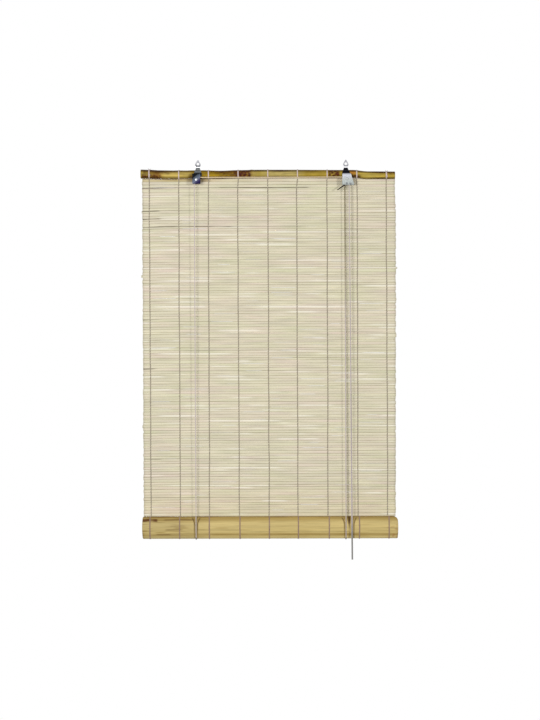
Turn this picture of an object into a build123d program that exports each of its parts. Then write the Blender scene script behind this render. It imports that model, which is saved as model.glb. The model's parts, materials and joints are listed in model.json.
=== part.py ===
from build123d import *
import math
import os

# Roll-up bamboo blind, in millimetres. The origin is midway between the two hanging eyes.
# +Z is up, +X is to the right as seen from the front, and the front faces -Y.

# Hanging eyes
EYE_SPACING = 348.0
EYE_HOLE_RADIUS = 3.2
EYE_RIM = 3.2
EYE_CENTRE_DROP = 2.0
EYE_APEX_RISE = 9.4
EYE_TIP_RADIUS = 1.6

# Head pole, a bamboo culm
POLE_LENGTH = 598.0
POLE_CENTRE_X = -9.5
POLE_DROP = 24.0
POLE_RADIUS = 9.4
POLE_LEFT_END_RADIUS = 10.0
POLE_RIGHT_END_RADIUS = 8.8
POLE_EVEN_HALF_LENGTH = 200.0
POLE_BORE_RADIUS = 4.6
CULM_JOINT_X = -48.0
CULM_JOINT_WIDTH = 9.0
CULM_JOINT_SWELL = 0.8
CULM_DIAPHRAGM = 4.0

# Slat mat
MAT_WIDTH = 596.0
MAT_CENTRE_X = -7.7
MAT_TOP_DROP = 35.7
SLAT_PITCH = 6.1
SLAT_THICKNESS = 2.4
SLAT_GROOVE_WIDTH = 1.6
SLAT_GROOVE_DEPTH = 0.65
SLIT_COUNT = 112
SLIT_HEIGHT = 0.9
SLIT_STRING_MARGIN = 3.0
SLIT_LENGTH_SHARES = (1.0, 0.62, 0.86, 0.45, 0.74, 0.93, 0.55)
SLIT_PLACE_SHARES = (0, 0.5, 1.0)
SLIT_EDGE_ROWS = 2
SLIT_STEP_ROWS = 47
SLIT_STEP_BAYS = 3

# Warp strings and ties. The eyes stand a number of string bays apart, less an allowance.
EYE_BAYS = 5
EYE_BAY_ALLOWANCE = 0.5
STRING_EDGE_MARGIN = 15.0
STRING_WIDTH = 1.6
STRING_THICKNESS = 0.7
STRING_CLEARANCE = 0.05
TIE_WIDTH = 2.2
TIE_THICKNESS = 0.8
TIE_CLEARANCE = 0.08
TIE_TAB_DEPTH = 2.4

# Bottom rail, a split-bamboo lath
RAIL_LENGTH = 601.0
RAIL_CENTRE_X = -6.0
RAIL_TOP_DROP = 829.0
RAIL_HEIGHT = 52.0
RAIL_THICKNESS = 6.0
RAIL_SAGITTA = 7.0
RAIL_FRONT_Y = -12.4
RAIL_CORNER_CLIP = 2.0
RAIL_WORN_CORNER = 10.0
RAIL_WORN_CORNER_SHARES = ((1.0, 0), (0.62, 0.08), (0.29, 0.29), (0.08, 0.62), (0, 1.0))
RAIL_MAT_GAP = 0.3

# Cords
CORD_RADIUS = 1.1
CORD_GAP = 0.4
CORD_END_GAP = 0.05
CROSS_CORD_DROP = 33.0
PULL_END_DROP = 929.5
PULL_INNER_END_X = 184.0
PULL_INNER_END_Y = -15.2
PULL_OUTER_END_X = 186.0
PULL_OUTER_END_Y = -16.8
KNOT_RADIUS = 2.6
KNOT_SEAT_SHARE = 0.7

# Sheet-metal brackets
SHEET = 1.2
STRAP_CLEARANCE = 0.1
STRAP_HALF_WIDTH = 9.2
STRAP_NECK_HALF_WIDTH = 3.6
STRAP_NECK_DROP = 7.0
STRAP_SHOULDER_DROP = 23.0
STRAP_FRONT_LEG = 6.5
STRAP_BACK_LEG = 11.5
STRAP_LIP = 8.0
STRAP_LIP_HOLE_CLEARANCE = 0.3
HOUSING_TOP_DROP = 24.0
HOUSING_BEND_RADIUS = 2.4
LEFT_HOUSING_HALF_WIDTH = 9.4
LEFT_HOUSING_BELOW_WHEEL = 3.5
LOCK_HOUSING_TOP_LEFT = 10.6
LOCK_HOUSING_TOP_RIGHT = 8.7
LOCK_HOUSING_BOTTOM_LEFT = 11.3
LOCK_HOUSING_BOTTOM_RIGHT = 17.0
LOCK_HOUSING_BELOW_PAWL = 1.0
HOUSING_CORNER_RADIUS = 1.5

# Cord wheels
WHEEL_PITCH_RADIUS = 5.0
WHEEL_RIM_RISE = 1.5
WHEEL_SIDE_GAP = 0.3
WHEEL_RIM_WIDTH = 0.4
GROOVE_CORD_GAP = 0.3
GROOVE_FLOOR_HALF_WIDTH = 1.1
GROOVE_MOUTH_HALF_WIDTH = 1.7
LEFT_WHEEL_OFFSET = -3.0
RIGHT_WHEEL_OFFSET = 2.0

# Rivets and pins
AXLE_RADIUS = 1.5
AXLE_HEAD_RADIUS = 3.0
PIVOT_RADIUS = 1.1
PIVOT_HEAD_RADIUS = 2.1
GUIDE_RADIUS = 1.3
GUIDE_HEAD_RADIUS = 2.1
RIVET_HEAD = 1.0
RIVET_DOME = 0.4
RIVET_HOLE_CLEARANCE = 0.03
RUNNING_CLEARANCE = 0.05

# Lock pawl
PAWL_BOSS_RADIUS = 2.4
PAWL_WHEEL_GAP = 1.0
PAWL_NOSE_REACH = 4.1
PAWL_CORD_GAP = 0.3
PAWL_TOOTH_COUNT = 4
PAWL_TOOTH_PITCH = 0.85
PAWL_TOOTH_DEPTH = 0.5
PAWL_TAIL_LENGTH = 27.6
PAWL_TAIL_ANGLE = 215.0
PAWL_TAIL_ROOT_WIDTH = 3.4
PAWL_TAIL_END_WIDTH = 2.4
PAWL_TAIL_THICKNESS = 2.0
PAWL_GRIP_COUNT = 4
PAWL_GRIP_DEPTH = 0.5
GUIDE_BELOW_PIVOT = 1.0

CUT_OVERRUN = 5.0

# Places that follow from the sizes above
POLE_Z = -POLE_DROP
POLE_LEFT_X = POLE_CENTRE_X - POLE_LENGTH / 2
POLE_RIGHT_X = POLE_CENTRE_X + POLE_LENGTH / 2
STRING_PITCH = (EYE_SPACING + EYE_BAY_ALLOWANCE) / EYE_BAYS
STRINGS_EACH_SIDE = math.floor((MAT_WIDTH / 2 - STRING_EDGE_MARGIN) / STRING_PITCH)
STRING_COUNT = 2 * STRINGS_EACH_SIDE + 1
STRING_XS = [POLE_CENTRE_X + STRING_PITCH * i for i in range(-STRINGS_EACH_SIDE, STRINGS_EACH_SIDE + 1)]

RAIL_TOP_Z = -RAIL_TOP_DROP
RAIL_BOTTOM_Z = RAIL_TOP_Z - RAIL_HEIGHT
RAIL_MIDDLE_Z = RAIL_TOP_Z - RAIL_HEIGHT / 2
RAIL_OUTER_RADIUS = ((RAIL_HEIGHT / 2) ** 2 + RAIL_SAGITTA ** 2) / (2 * RAIL_SAGITTA)
RAIL_INNER_RADIUS = RAIL_OUTER_RADIUS - RAIL_THICKNESS
RAIL_AXIS_Y = RAIL_FRONT_Y + RAIL_OUTER_RADIUS
RAIL_BACK_Y = RAIL_AXIS_Y - math.sqrt(RAIL_INNER_RADIUS ** 2 - (RAIL_HEIGHT / 2) ** 2)
RAIL_EDGE_ANGLE = math.degrees(math.asin(RAIL_HEIGHT / 2 / RAIL_OUTER_RADIUS))

STRING_OUTSIDE = STRING_CLEARANCE + STRING_THICKNESS
TIE_OUTSIDE = TIE_CLEARANCE + TIE_THICKNESS
MAT_TOP_Z = -MAT_TOP_DROP
MAT_BOTTOM_Z = RAIL_TOP_Z + TIE_OUTSIDE + RAIL_MAT_GAP + STRING_OUTSIDE
MAT_LEFT_X = MAT_CENTRE_X - MAT_WIDTH / 2
SLAT_COUNT = round((MAT_TOP_Z - MAT_BOTTOM_Z) / SLAT_PITCH)
SLAT_STEP = (MAT_TOP_Z - MAT_BOTTOM_Z) / SLAT_COUNT

STRAP_INNER_RADIUS = POLE_RADIUS + STRAP_CLEARANCE
STRAP_OUTER_RADIUS = STRAP_INNER_RADIUS + SHEET
LIP_BOTTOM_Z = POLE_Z - STRAP_BACK_LEG
LIP_TOP_Z = LIP_BOTTOM_Z + SHEET
LIP_HOLE_Y = STRAP_OUTER_RADIUS + STRAP_LIP / 2

GROOVE_PITCH = 2 * GROOVE_MOUTH_HALF_WIDTH + WHEEL_RIM_WIDTH
WHEEL_WIDTH = 2 * GROOVE_PITCH + WHEEL_RIM_WIDTH
WHEEL_RADIUS = WHEEL_PITCH_RADIUS + WHEEL_RIM_RISE
HOUSING_BACK_Y = -STRAP_OUTER_RADIUS
WHEEL_BACK_Y = HOUSING_BACK_Y - SHEET - WHEEL_SIDE_GAP
WHEEL_FRONT_Y = WHEEL_BACK_Y - WHEEL_WIDTH
HOUSING_FRONT_Y = WHEEL_FRONT_Y - WHEEL_SIDE_GAP - SHEET
INNER_GROOVE_Y = WHEEL_BACK_Y - WHEEL_RIM_WIDTH - GROOVE_MOUTH_HALF_WIDTH
OUTER_GROOVE_Y = INNER_GROOVE_Y - GROOVE_PITCH
WHEEL_Z = -CROSS_CORD_DROP - WHEEL_PITCH_RADIUS
LEFT_EYE_X = -EYE_SPACING / 2
RIGHT_EYE_X = EYE_SPACING / 2
LEFT_WHEEL_X = LEFT_EYE_X + LEFT_WHEEL_OFFSET
RIGHT_WHEEL_X = RIGHT_EYE_X + RIGHT_WHEEL_OFFSET
PULL_X = RIGHT_WHEEL_X + WHEEL_PITCH_RADIUS

PAWL_X = PULL_X - CORD_RADIUS - PAWL_CORD_GAP - PAWL_NOSE_REACH
PAWL_Z = WHEEL_Z - WHEEL_RADIUS - PAWL_WHEEL_GAP - PAWL_BOSS_RADIUS
GUIDE_X = PULL_X + CORD_RADIUS + CORD_GAP + GUIDE_RADIUS
GUIDE_Z = PAWL_Z - GUIDE_BELOW_PIVOT

LOOP_OFFSET = CORD_GAP + CORD_RADIUS
LEFT_CORD_X = LEFT_WHEEL_X - WHEEL_PITCH_RADIUS
RIGHT_CORD_X = RIGHT_WHEEL_X - WHEEL_PITCH_RADIUS
RAIL_SHIFT = RAIL_CENTRE_X - POLE_CENTRE_X
LEFT_LOOP_X = LEFT_CORD_X + RAIL_SHIFT
RIGHT_LOOP_X = RIGHT_CORD_X + RAIL_SHIFT
LOOP_FRONT_Y = RAIL_FRONT_Y - LOOP_OFFSET
LOOP_BACK_Y = RAIL_BACK_Y + LOOP_OFFSET


def along_x(sketch, start, end):
    """Extrude a sketch drawn in (y, z) from x = start to x = end."""
    return extrude(Plane.YZ.offset(start) * sketch, end - start)


def along_y(sketch, front, back):
    """Extrude a sketch drawn in (x, z) from y = back forwards to y = front."""
    return extrude(Plane.XZ.offset(-back) * sketch, back - front)


def polygon(points):
    """Make a closed face from its corner points."""
    return make_face(Polyline(*points, close=True))


def tube(path):
    """Sweep the cord's round section along a path."""
    section = Plane(origin=path @ 0, z_dir=path % 0) * Circle(CORD_RADIUS)
    return sweep(section, path=path)


def pole_radius(x):
    """Outer radius of the culm at x: even between the brackets, changing towards both ends."""
    from_centre = abs(x - POLE_CENTRE_X)
    end_radius = POLE_LEFT_END_RADIUS if x < POLE_CENTRE_X else POLE_RIGHT_END_RADIUS
    reach_share = (from_centre - POLE_EVEN_HALF_LENGTH) / (POLE_LENGTH / 2 - POLE_EVEN_HALF_LENGTH)
    return POLE_RADIUS + (end_radius - POLE_RADIUS) * max(0, reach_share)


def make_head_pole():
    """Hollow culm with one swollen joint and its diaphragm."""
    joint_left = CULM_JOINT_X - CULM_JOINT_WIDTH / 2
    joint_right = CULM_JOINT_X + CULM_JOINT_WIDTH / 2
    even_left = POLE_CENTRE_X - POLE_EVEN_HALF_LENGTH
    even_right = POLE_CENTRE_X + POLE_EVEN_HALF_LENGTH
    outline = [
        (POLE_LEFT_X, 0),
        (POLE_LEFT_X, POLE_LEFT_END_RADIUS),
        (even_left, POLE_RADIUS),
        (joint_left, POLE_RADIUS),
        (CULM_JOINT_X - CULM_DIAPHRAGM / 2, POLE_RADIUS + CULM_JOINT_SWELL),
        (CULM_JOINT_X, POLE_RADIUS + CULM_JOINT_SWELL / 2),
        (CULM_JOINT_X + CULM_DIAPHRAGM / 2, POLE_RADIUS + CULM_JOINT_SWELL),
        (joint_right, POLE_RADIUS),
        (even_right, POLE_RADIUS),
        (POLE_RIGHT_X, POLE_RIGHT_END_RADIUS),
        (POLE_RIGHT_X, 0),
    ]
    culm = revolve(Plane.XZ * polygon(outline), axis=Axis.X)
    bore = Circle(POLE_BORE_RADIUS)
    culm -= along_x(bore, POLE_LEFT_X - CUT_OVERRUN, CULM_JOINT_X - CULM_DIAPHRAGM / 2)
    culm -= along_x(bore, CULM_JOINT_X + CULM_DIAPHRAGM / 2, POLE_RIGHT_X + CUT_OVERRUN)
    return Pos(0, 0, POLE_Z) * culm


def slat_edge_z(row):
    """Height of the groove between slat row - 1 and slat row."""
    return MAT_TOP_Z - SLAT_STEP * row


def mat_side(y_face, inward):
    """One ridged side of the mat's section, from the top down: a groove, then a slat's flat face."""
    half_groove = SLAT_GROOVE_WIDTH / 2
    points = []
    for row in range(SLAT_COUNT):
        points.append((y_face + inward * SLAT_GROOVE_DEPTH, slat_edge_z(row)))
        points.append((y_face, slat_edge_z(row) - half_groove))
        points.append((y_face, slat_edge_z(row + 1) + half_groove))
    points.append((y_face + inward * SLAT_GROOVE_DEPTH, slat_edge_z(SLAT_COUNT)))
    return points


def mat_slits():
    """Open slits between slats, each within one bay between two strings."""
    bays = STRING_COUNT - 1
    open_rows = SLAT_COUNT + 1 - 2 * SLIT_EDGE_ROWS
    room = STRING_PITCH - 2 * SLIT_STRING_MARGIN
    slits = []
    for i in range(SLIT_COUNT):
        row = SLIT_EDGE_ROWS + (i * SLIT_STEP_ROWS) % open_rows
        bay = (i * SLIT_STEP_BAYS + i // bays) % bays
        length = room * SLIT_LENGTH_SHARES[i % len(SLIT_LENGTH_SHARES)]
        slack = (room - length) * SLIT_PLACE_SHARES[i % len(SLIT_PLACE_SHARES)]
        start = STRING_XS[bay] + SLIT_STRING_MARGIN + slack
        place = Pos(start + length / 2, 0, slat_edge_z(row))
        slits.append(place * Box(length, SLAT_THICKNESS + CUT_OVERRUN, SLIT_HEIGHT))
    return slits


def make_slat_mat():
    """One wall of horizontal slats, ridged on both sides, with slits through it."""
    front = mat_side(-SLAT_THICKNESS / 2, 1)
    back = mat_side(SLAT_THICKNESS / 2, -1)
    wall = along_x(polygon(front + back[::-1]), MAT_LEFT_X, MAT_LEFT_X + MAT_WIDTH)
    return wall - mat_slits()


def make_warp_string(x):
    """A closed flat string down the front of the mat and up its back."""
    inner_width = SLAT_THICKNESS + 2 * STRING_CLEARANCE
    inner_height = MAT_TOP_Z - MAT_BOTTOM_Z + 2 * STRING_CLEARANCE
    middle = Pos(0, (MAT_TOP_Z + MAT_BOTTOM_Z) / 2)
    ring = middle * Rectangle(inner_width + 2 * STRING_THICKNESS, inner_height + 2 * STRING_THICKNESS)
    ring -= middle * Rectangle(inner_width, inner_height)
    return along_x(ring, x - STRING_WIDTH / 2, x + STRING_WIDTH / 2)


def make_head_tie(x):
    """A string ring round the pole, with a tab down to the top of the warp string."""
    inner = pole_radius(x) + TIE_CLEARANCE
    outer = inner + TIE_THICKNESS
    tab_bottom = MAT_TOP_Z + STRING_OUTSIDE + STRING_CLEARANCE
    tab_top = POLE_Z - inner - TIE_THICKNESS / 2
    tab = Pos(0, (tab_top + tab_bottom) / 2) * Rectangle(TIE_TAB_DEPTH, tab_top - tab_bottom)
    ring = Pos(0, POLE_Z) * Circle(outer) + tab - Pos(0, POLE_Z) * Circle(inner)
    return along_x(ring, x - TIE_WIDTH / 2, x + TIE_WIDTH / 2)


def rail_section(margin=0):
    """Section of the lath in (y, z), grown by a margin: a curved strip with flat planed edges."""
    centre = Pos(RAIL_AXIS_Y, RAIL_MIDDLE_Z)
    strip = centre * Circle(RAIL_OUTER_RADIUS + margin) - centre * Circle(RAIL_INNER_RADIUS - margin)
    window = Rectangle(2 * RAIL_OUTER_RADIUS, RAIL_HEIGHT + 2 * margin)
    return strip & Pos(RAIL_FRONT_Y, RAIL_MIDDLE_Z) * window


def rail_outline():
    """Front outline of the lath: three clipped corners and one that is worn round."""
    left = RAIL_CENTRE_X - RAIL_LENGTH / 2
    right = RAIL_CENTRE_X + RAIL_LENGTH / 2
    worn = [
        (right - RAIL_WORN_CORNER * along, RAIL_TOP_Z - RAIL_WORN_CORNER * down)
        for along, down in RAIL_WORN_CORNER_SHARES
    ]
    clipped = [
        (right, RAIL_BOTTOM_Z + RAIL_CORNER_CLIP),
        (right - RAIL_CORNER_CLIP, RAIL_BOTTOM_Z),
        (left + RAIL_CORNER_CLIP, RAIL_BOTTOM_Z),
        (left, RAIL_BOTTOM_Z + RAIL_CORNER_CLIP),
        (left, RAIL_TOP_Z - RAIL_CORNER_CLIP),
        (left + RAIL_CORNER_CLIP, RAIL_TOP_Z),
    ]
    return polygon(worn + clipped)


def make_bottom_rail():
    """Split-bamboo lath, curved in section and cut to its front outline."""
    outline = rail_outline()
    box = outline.bounding_box()
    lath = along_x(rail_section(), box.min.X - CUT_OVERRUN, box.max.X + CUT_OVERRUN)
    return lath & along_y(outline, RAIL_FRONT_Y - CUT_OVERRUN, RAIL_BACK_Y + CUT_OVERRUN)


def make_rail_tie(x):
    """A string band round the bottom rail."""
    band = rail_section(TIE_OUTSIDE) - rail_section(TIE_CLEARANCE)
    return along_x(band, x - TIE_WIDTH / 2, x + TIE_WIDTH / 2)


def strap_outline(x):
    """Front outline of the strap below its eye: a neck that widens over the pole."""
    bottom = LIP_BOTTOM_Z - CUT_OVERRUN
    corners = [
        (-STRAP_NECK_HALF_WIDTH, -STRAP_NECK_DROP),
        (STRAP_NECK_HALF_WIDTH, -STRAP_NECK_DROP),
        (STRAP_HALF_WIDTH, -STRAP_SHOULDER_DROP),
        (STRAP_HALF_WIDTH, bottom),
        (-STRAP_HALF_WIDTH, bottom),
        (-STRAP_HALF_WIDTH, -STRAP_SHOULDER_DROP),
    ]
    return Pos(x, 0) * polygon(corners)


def eye_outline(x):
    """Teardrop round the hanging hole."""
    eye_radius = EYE_HOLE_RADIUS + EYE_RIM
    lower = Pos(x, -EYE_CENTRE_DROP) * Circle(eye_radius)
    tip = Pos(x, EYE_APEX_RISE - EYE_TIP_RADIUS) * Circle(EYE_TIP_RADIUS)
    return make_hull((lower + tip).edges())


def make_hanger_strap(x):
    """Bent strap over the pole: hanging eye above, flat leg in front, lip for the cord end behind."""
    pole_centre = Pos(0, POLE_Z)
    upper_half = Rectangle(2 * STRAP_OUTER_RADIUS, STRAP_OUTER_RADIUS)
    saddle = pole_centre * Circle(STRAP_OUTER_RADIUS) & Pos(0, POLE_Z + STRAP_OUTER_RADIUS / 2) * upper_half
    saddle -= pole_centre * Circle(STRAP_INNER_RADIUS)
    leg_y = STRAP_INNER_RADIUS + SHEET / 2
    front_leg = Pos(-leg_y, POLE_Z - STRAP_FRONT_LEG / 2) * Rectangle(SHEET, STRAP_FRONT_LEG)
    back_leg = Pos(leg_y, POLE_Z - STRAP_BACK_LEG / 2) * Rectangle(SHEET, STRAP_BACK_LEG)
    lip_depth = SHEET + STRAP_LIP
    lip = Pos(STRAP_INNER_RADIUS + lip_depth / 2, LIP_BOTTOM_Z + SHEET / 2) * Rectangle(lip_depth, SHEET)
    profile = saddle + front_leg + back_leg + lip
    strap = along_x(profile, x - STRAP_HALF_WIDTH, x + STRAP_HALF_WIDTH)
    outline = strap_outline(x)
    lip_end_y = STRAP_OUTER_RADIUS + STRAP_LIP
    strap &= along_y(outline, -STRAP_OUTER_RADIUS - CUT_OVERRUN, lip_end_y + CUT_OVERRUN)
    saddle_top = POLE_Z + STRAP_INNER_RADIUS + SHEET / 2
    foot = Pos(x, saddle_top / 2) * Rectangle(2 * STRAP_HALF_WIDTH, -saddle_top)
    plate = along_y(eye_outline(x) + (outline & foot), -SHEET / 2, SHEET / 2)
    strap += plate
    strap -= along_y(Pos(x, 0) * Circle(EYE_HOLE_RADIUS), -CUT_OVERRUN, CUT_OVERRUN)
    cord_hole = extrude(Circle(CORD_RADIUS + STRAP_LIP_HOLE_CLEARANCE), SHEET + 2 * CUT_OVERRUN)
    strap -= Pos(x, LIP_HOLE_Y, LIP_BOTTOM_Z - CUT_OVERRUN) * cord_hole
    return strap


def fold_channel(outline, bottom, rivet_places):
    """Sheet folded into a channel that is open below: back cheek, top fold and front plate."""
    depth = HOUSING_BACK_Y - HOUSING_FRONT_Y
    middle_y = (HOUSING_BACK_Y + HOUSING_FRONT_Y) / 2
    height = -HOUSING_TOP_DROP - bottom
    outside = Pos(middle_y, bottom) * RectangleRounded(depth, 2 * height, HOUSING_BEND_RADIUS)
    hollow = RectangleRounded(depth - 2 * SHEET, 2 * height, HOUSING_BEND_RADIUS - SHEET)
    inside = Pos(middle_y, bottom - SHEET) * hollow
    box = outline.bounding_box()
    channel = along_x(outside - inside, box.min.X - CUT_OVERRUN, box.max.X + CUT_OVERRUN)
    channel &= along_y(outline, HOUSING_FRONT_Y - CUT_OVERRUN, HOUSING_BACK_Y + CUT_OVERRUN)
    for x, z, radius in rivet_places:
        hole = Pos(x, z) * Circle(radius + RIVET_HOLE_CLEARANCE)
        channel -= along_y(hole, HOUSING_FRONT_Y - CUT_OVERRUN, HOUSING_BACK_Y + CUT_OVERRUN)
    return channel


def make_pulley_housing():
    """Narrow housing of the left bracket."""
    bottom = WHEEL_Z - WHEEL_RADIUS - LEFT_HOUSING_BELOW_WHEEL
    corners = [
        (LEFT_WHEEL_X - LEFT_HOUSING_HALF_WIDTH, -HOUSING_TOP_DROP),
        (LEFT_WHEEL_X + LEFT_HOUSING_HALF_WIDTH, -HOUSING_TOP_DROP),
        (LEFT_WHEEL_X + LEFT_HOUSING_HALF_WIDTH, bottom),
        (LEFT_WHEEL_X - LEFT_HOUSING_HALF_WIDTH, bottom),
    ]
    outline = polygon(corners)
    outline = fillet(outline.vertices().sort_by(Axis.Y)[:2], HOUSING_CORNER_RADIUS)
    return fold_channel(outline, bottom, [(LEFT_WHEEL_X, WHEEL_Z, AXLE_RADIUS)])


def make_lock_housing():
    """Trapezoid housing of the right bracket, wider below for the pawl and the guide pin."""
    bottom = PAWL_Z - PAWL_BOSS_RADIUS - LOCK_HOUSING_BELOW_PAWL
    corners = [
        (RIGHT_WHEEL_X - LOCK_HOUSING_TOP_LEFT, -HOUSING_TOP_DROP),
        (RIGHT_WHEEL_X + LOCK_HOUSING_TOP_RIGHT, -HOUSING_TOP_DROP),
        (RIGHT_WHEEL_X + LOCK_HOUSING_BOTTOM_RIGHT, bottom),
        (RIGHT_WHEEL_X - LOCK_HOUSING_BOTTOM_LEFT, bottom),
    ]
    outline = polygon(corners)
    outline = fillet(outline.vertices().sort_by(Axis.Y)[:2], HOUSING_CORNER_RADIUS)
    places = [
        (RIGHT_WHEEL_X, WHEEL_Z, AXLE_RADIUS),
        (PAWL_X, PAWL_Z, PIVOT_RADIUS),
        (GUIDE_X, GUIDE_Z, GUIDE_RADIUS),
    ]
    return fold_channel(outline, bottom, places)


def turned(profile, x, z):
    """Turn a profile of (radius, y) points round a front-to-back axis at (x, z)."""
    return Pos(x, 0, z) * revolve(Plane.XY * polygon(profile), axis=Axis.Y)


def make_wheel(x):
    """Two-groove cord wheel with a plain bore."""
    bore = AXLE_RADIUS + RUNNING_CLEARANCE
    floor = WHEEL_PITCH_RADIUS - CORD_RADIUS - GROOVE_CORD_GAP
    profile = [(bore, WHEEL_FRONT_Y), (WHEEL_RADIUS, WHEEL_FRONT_Y)]
    for groove_y in (OUTER_GROOVE_Y, INNER_GROOVE_Y):
        profile.append((WHEEL_RADIUS, groove_y - GROOVE_MOUTH_HALF_WIDTH))
        profile.append((floor, groove_y - GROOVE_FLOOR_HALF_WIDTH))
        profile.append((floor, groove_y + GROOVE_FLOOR_HALF_WIDTH))
        profile.append((WHEEL_RADIUS, groove_y + GROOVE_MOUTH_HALF_WIDTH))
    profile += [(WHEEL_RADIUS, WHEEL_BACK_Y), (bore, WHEEL_BACK_Y)]
    return turned(profile, x, WHEEL_Z)


def make_rivet(x, z, radius, head_radius):
    """Rivet through both plates of a housing, with a domed head outside each plate."""
    front_tip = HOUSING_FRONT_Y - RIVET_HEAD
    back_tip = HOUSING_BACK_Y + RIVET_HEAD
    profile = [
        (0, front_tip),
        (head_radius - RIVET_DOME, front_tip),
        (head_radius, front_tip + RIVET_DOME),
        (head_radius, HOUSING_FRONT_Y),
        (radius, HOUSING_FRONT_Y),
        (radius, HOUSING_BACK_Y),
        (head_radius, HOUSING_BACK_Y),
        (head_radius, back_tip - RIVET_DOME),
        (head_radius - RIVET_DOME, back_tip),
        (0, back_tip),
    ]
    return turned(profile, x, z)


def pawl_nose():
    """Toothed nose of the pawl in (x, z) about its pivot. Its teeth stand upright beside the cords."""
    points = [(0, PAWL_BOSS_RADIUS)]
    for tooth in range(PAWL_TOOTH_COUNT):
        tooth_top = -PAWL_TOOTH_PITCH * tooth
        points.append((PAWL_NOSE_REACH - PAWL_TOOTH_DEPTH, tooth_top))
        points.append((PAWL_NOSE_REACH, tooth_top - PAWL_TOOTH_PITCH / 2))
    points.append((PAWL_NOSE_REACH - PAWL_TOOTH_DEPTH, -PAWL_TOOTH_PITCH * PAWL_TOOTH_COUNT))
    points.append((0, -PAWL_BOSS_RADIUS))
    return polygon(points)


def pawl_tail():
    """Tail of the pawl along +X from its pivot, with finger notches along its lower edge."""
    root = PAWL_TAIL_ROOT_WIDTH / 2
    end = PAWL_TAIL_END_WIDTH / 2
    straight = PAWL_TAIL_LENGTH - end
    bar = polygon([(0, -root), (straight, -end), (straight, end), (0, root)])
    bar += Pos(straight, 0) * Circle(end)
    for notch in range(PAWL_GRIP_COUNT):
        place = straight - PAWL_TAIL_ROOT_WIDTH * notch
        width = end + (root - end) * (straight - place) / straight
        bar -= Pos(place, width) * Circle(PAWL_GRIP_DEPTH)
        bar -= Pos(place, -width) * Circle(PAWL_GRIP_DEPTH)
    return bar


def make_lock_pawl():
    """Toothed pawl: a boss and nose as wide as the wheel, and a flat tail in front of the lift cord."""
    middle_y = (WHEEL_FRONT_Y + OUTER_GROOVE_Y) / 2
    block = Circle(PAWL_BOSS_RADIUS) + pawl_nose()
    body = along_y(block, WHEEL_FRONT_Y, WHEEL_BACK_Y)
    tail = Rot(0, 0, PAWL_TAIL_ANGLE) * pawl_tail()
    tail_back = middle_y + PAWL_TAIL_THICKNESS / 2
    body += along_y(tail, tail_back - PAWL_TAIL_THICKNESS, tail_back)
    body -= along_y(Circle(PIVOT_RADIUS + RUNNING_CLEARANCE), WHEEL_FRONT_Y - CUT_OVERRUN,
                    WHEEL_BACK_Y + CUT_OVERRUN)
    return Pos(PAWL_X, 0, PAWL_Z) * body


def make_cord_knot(x):
    """Stopper knot that sits on the lip of a hanger strap."""
    ball = Pos(x, LIP_HOLE_Y, LIP_TOP_Z + KNOT_RADIUS * KNOT_SEAT_SHARE) * Sphere(KNOT_RADIUS)
    above = Box(2 * KNOT_RADIUS + CUT_OVERRUN, 2 * KNOT_RADIUS + CUT_OVERRUN, 2 * KNOT_RADIUS)
    return ball & Pos(x, LIP_HOLE_Y, LIP_TOP_Z + KNOT_RADIUS) * above


def make_back_run(eye_x, loop_x):
    """Straight run of a lift cord from its knot, through the lip, down behind the mat."""
    top = (eye_x, LIP_HOLE_Y, LIP_TOP_Z - CORD_END_GAP)
    return tube(Line(top, (loop_x, LOOP_BACK_Y, RAIL_TOP_Z + CORD_END_GAP)))


def make_front_run(cord_x, loop_x, groove_y):
    """Straight run of a lift cord from the bottom rail up to its wheel."""
    bottom = (loop_x, LOOP_FRONT_Y, RAIL_TOP_Z + CORD_END_GAP)
    return tube(Line(bottom, (cord_x, groove_y, WHEEL_Z - CORD_END_GAP)))


def make_rail_loop(loop_x):
    """Tight cord down the front of the rail, round its lower edges and up behind it."""
    front = Line((LOOP_FRONT_Y, RAIL_TOP_Z), (LOOP_FRONT_Y, RAIL_MIDDLE_Z))
    face = JernArc(front @ 1, front % 1, RAIL_OUTER_RADIUS + LOOP_OFFSET, RAIL_EDGE_ANGLE)
    edge = JernArc(face @ 1, face % 1, LOOP_OFFSET, 90 - RAIL_EDGE_ANGLE)
    under = Line(edge @ 1, (RAIL_BACK_Y, (edge @ 1).Y))
    back_edge = JernArc(under @ 1, under % 1, LOOP_OFFSET, 90)
    back = Line(back_edge @ 1, (LOOP_BACK_Y, RAIL_TOP_Z))
    path = Wire([front, face, edge, under, back_edge, back])
    return tube(Plane.YZ.offset(loop_x) * path)


def make_cross_run():
    """Left lift cord over the left wheel, across under the pole and a quarter turn round the right wheel."""
    rise = JernArc((LEFT_CORD_X, WHEEL_Z), (0, 1), WHEEL_PITCH_RADIUS, -90)
    across = Line(rise @ 1, (RIGHT_WHEEL_X, -CROSS_CORD_DROP))
    fall = JernArc(across @ 1, across % 1, WHEEL_PITCH_RADIUS, -90)
    return tube(Plane.XZ.offset(-OUTER_GROOVE_Y) * Wire([rise, across, fall]))


def make_wheel_wrap():
    """Right lift cord, half a turn over the right wheel."""
    wrap = JernArc((RIGHT_CORD_X, WHEEL_Z), (0, 1), WHEEL_PITCH_RADIUS, -180)
    return tube(Plane.XZ.offset(-INNER_GROOVE_Y) * Wire([wrap]))


def make_pull_strand(groove_y, end_x, end_y):
    """One strand of the pull cord, hanging straight from the right wheel."""
    return tube(Line((PULL_X, groove_y, WHEEL_Z - CORD_END_GAP), (end_x, end_y, -PULL_END_DROP)))


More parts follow.
